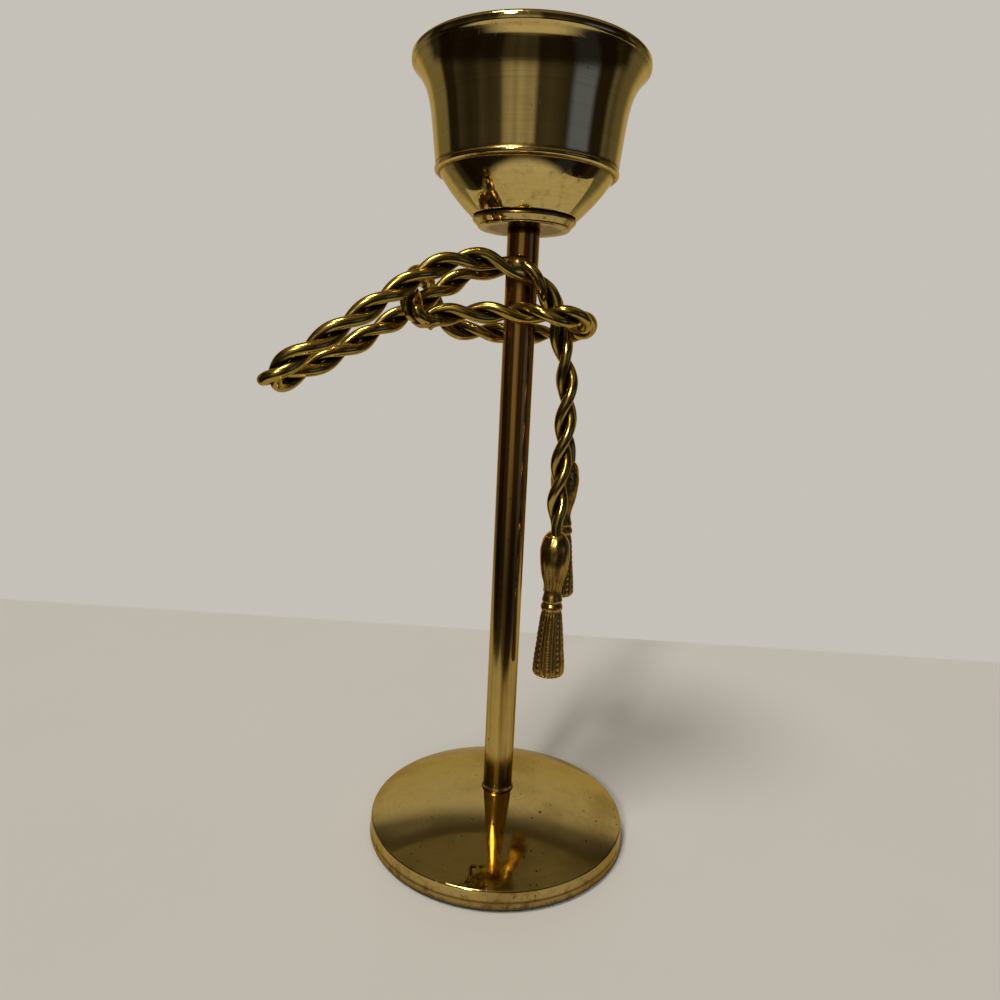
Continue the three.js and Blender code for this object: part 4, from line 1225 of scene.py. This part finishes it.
class CandlestickOperator:
    """What all the operators share: the sizes in the panel."""

    bl_options = {"REGISTER", "UNDO"}

    @property
    def size(self):
        """The group of sizes on the scene."""
        return bpy.context.scene.candlestick_shape


class CANDLESTICK_OT_foot(CandlestickOperator, Operator):
    """Make the pressed brass foot and the felt under it"""

    bl_idname = "candlestick.foot"
    bl_label = "Foot and Felt"

    def execute(self, context):
        make_foot(self.size)
        make_felt(self.size)
        return {"FINISHED"}


class CANDLESTICK_OT_stem(CandlestickOperator, Operator):
    """Make the tube of the stem"""

    bl_idname = "candlestick.stem"
    bl_label = "Stem"

    def execute(self, context):
        make_stem(self.size)
        return {"FINISHED"}


class CANDLESTICK_OT_cup(CandlestickOperator, Operator):
    """Make the turned cup and the disc under it"""

    bl_idname = "candlestick.cup"
    bl_label = "Cup and Disc"

    def execute(self, context):
        make_disc(self.size)
        make_cup(self.size)
        return {"FINISHED"}


class CANDLESTICK_OT_fixings(CandlestickOperator, Operator):
    """Make the rod with its washers and nuts"""

    bl_idname = "candlestick.fixings"
    bl_label = "Rod, Washers and Nuts"

    def execute(self, context):
        make_rod()
        for node in ("base_washer", "cup_washer"):
            make_washer(node)
        for node in ("base_nut", "cup_nut"):
            make_nut(node)
        return {"FINISHED"}


class CANDLESTICK_OT_rope(CandlestickOperator, Operator):
    """Make the twisted wires and their soldered joints"""

    bl_idname = "candlestick.rope"
    bl_label = "Twisted Wires and Solder"

    def execute(self, context):
        make_ropes(self.size)
        make_solder()
        return {"FINISHED"}


class CANDLESTICK_OT_tassels(CandlestickOperator, Operator):
    """Make the two cast tassels"""

    bl_idname = "candlestick.tassels"
    bl_label = "Tassels"

    def execute(self, context):
        make_tassel("front_tassel", self.size, 3)
        make_tassel("rear_tassel", self.size, 8)
        return {"FINISHED"}


class CANDLESTICK_OT_stage(CandlestickOperator, Operator):
    """Make the floor, the studio, the lamps and the camera"""

    bl_idname = "candlestick.stage"
    bl_label = "Stage, Lamps and Camera"

    def execute(self, context):
        stage = context.scene.candlestick_stage
        make_floor(stage)
        make_world(stage)
        for name in LAMPS:
            add_lamp(name, stage.lamp_strength)
        make_camera()
        context.scene.view_settings.view_transform = "Standard"
        return {"FINISHED"}


OPERATORS = (
    CANDLESTICK_OT_foot, CANDLESTICK_OT_stem, CANDLESTICK_OT_cup, CANDLESTICK_OT_fixings, CANDLESTICK_OT_rope,
    CANDLESTICK_OT_tassels, CANDLESTICK_OT_stage,
)


class CANDLESTICK_PT_panel(Panel):
    """Lists the pieces of the candlestick in the order in which they are made"""

    bl_idname = "CANDLESTICK_PT_panel"
    bl_label = "Brass Candlestick"
    bl_space_type = "VIEW_3D"
    bl_region_type = "UI"
    bl_category = "Candlestick"

    def draw(self, context):
        for operator in OPERATORS:
            self.layout.operator(operator.bl_idname)
        for group in ("candlestick_shape", "candlestick_finish", "candlestick_stage"):
            box = self.layout.box()
            settings = getattr(context.scene, group)
            for key in settings.__annotations__:
                box.prop(settings, key)


GROUPS = {
    "candlestick_shape": CANDLESTICK_PG_shape,
    "candlestick_finish": CANDLESTICK_PG_finish,
    "candlestick_stage": CANDLESTICK_PG_stage,
}


def register():
    """Registers the classes and hangs the groups of settings on the scene."""
    for made in (*GROUPS.values(), *OPERATORS, CANDLESTICK_PT_panel):
        bpy.utils.register_class(made)
    for key, group in GROUPS.items():
        setattr(bpy.types.Scene, key, PointerProperty(type=group))


def unregister():
    """Takes away what register made."""
    for key in GROUPS:
        delattr(bpy.types.Scene, key)
    for made in reversed((*GROUPS.values(), *OPERATORS, CANDLESTICK_PT_panel)):
        bpy.utils.unregister_class(made)


def main():
    register()
    for operator in OPERATORS:
        group, name = operator.bl_idname.split(".")
        getattr(getattr(bpy.ops, group), name)()


if __name__ == "__main__":
    main()
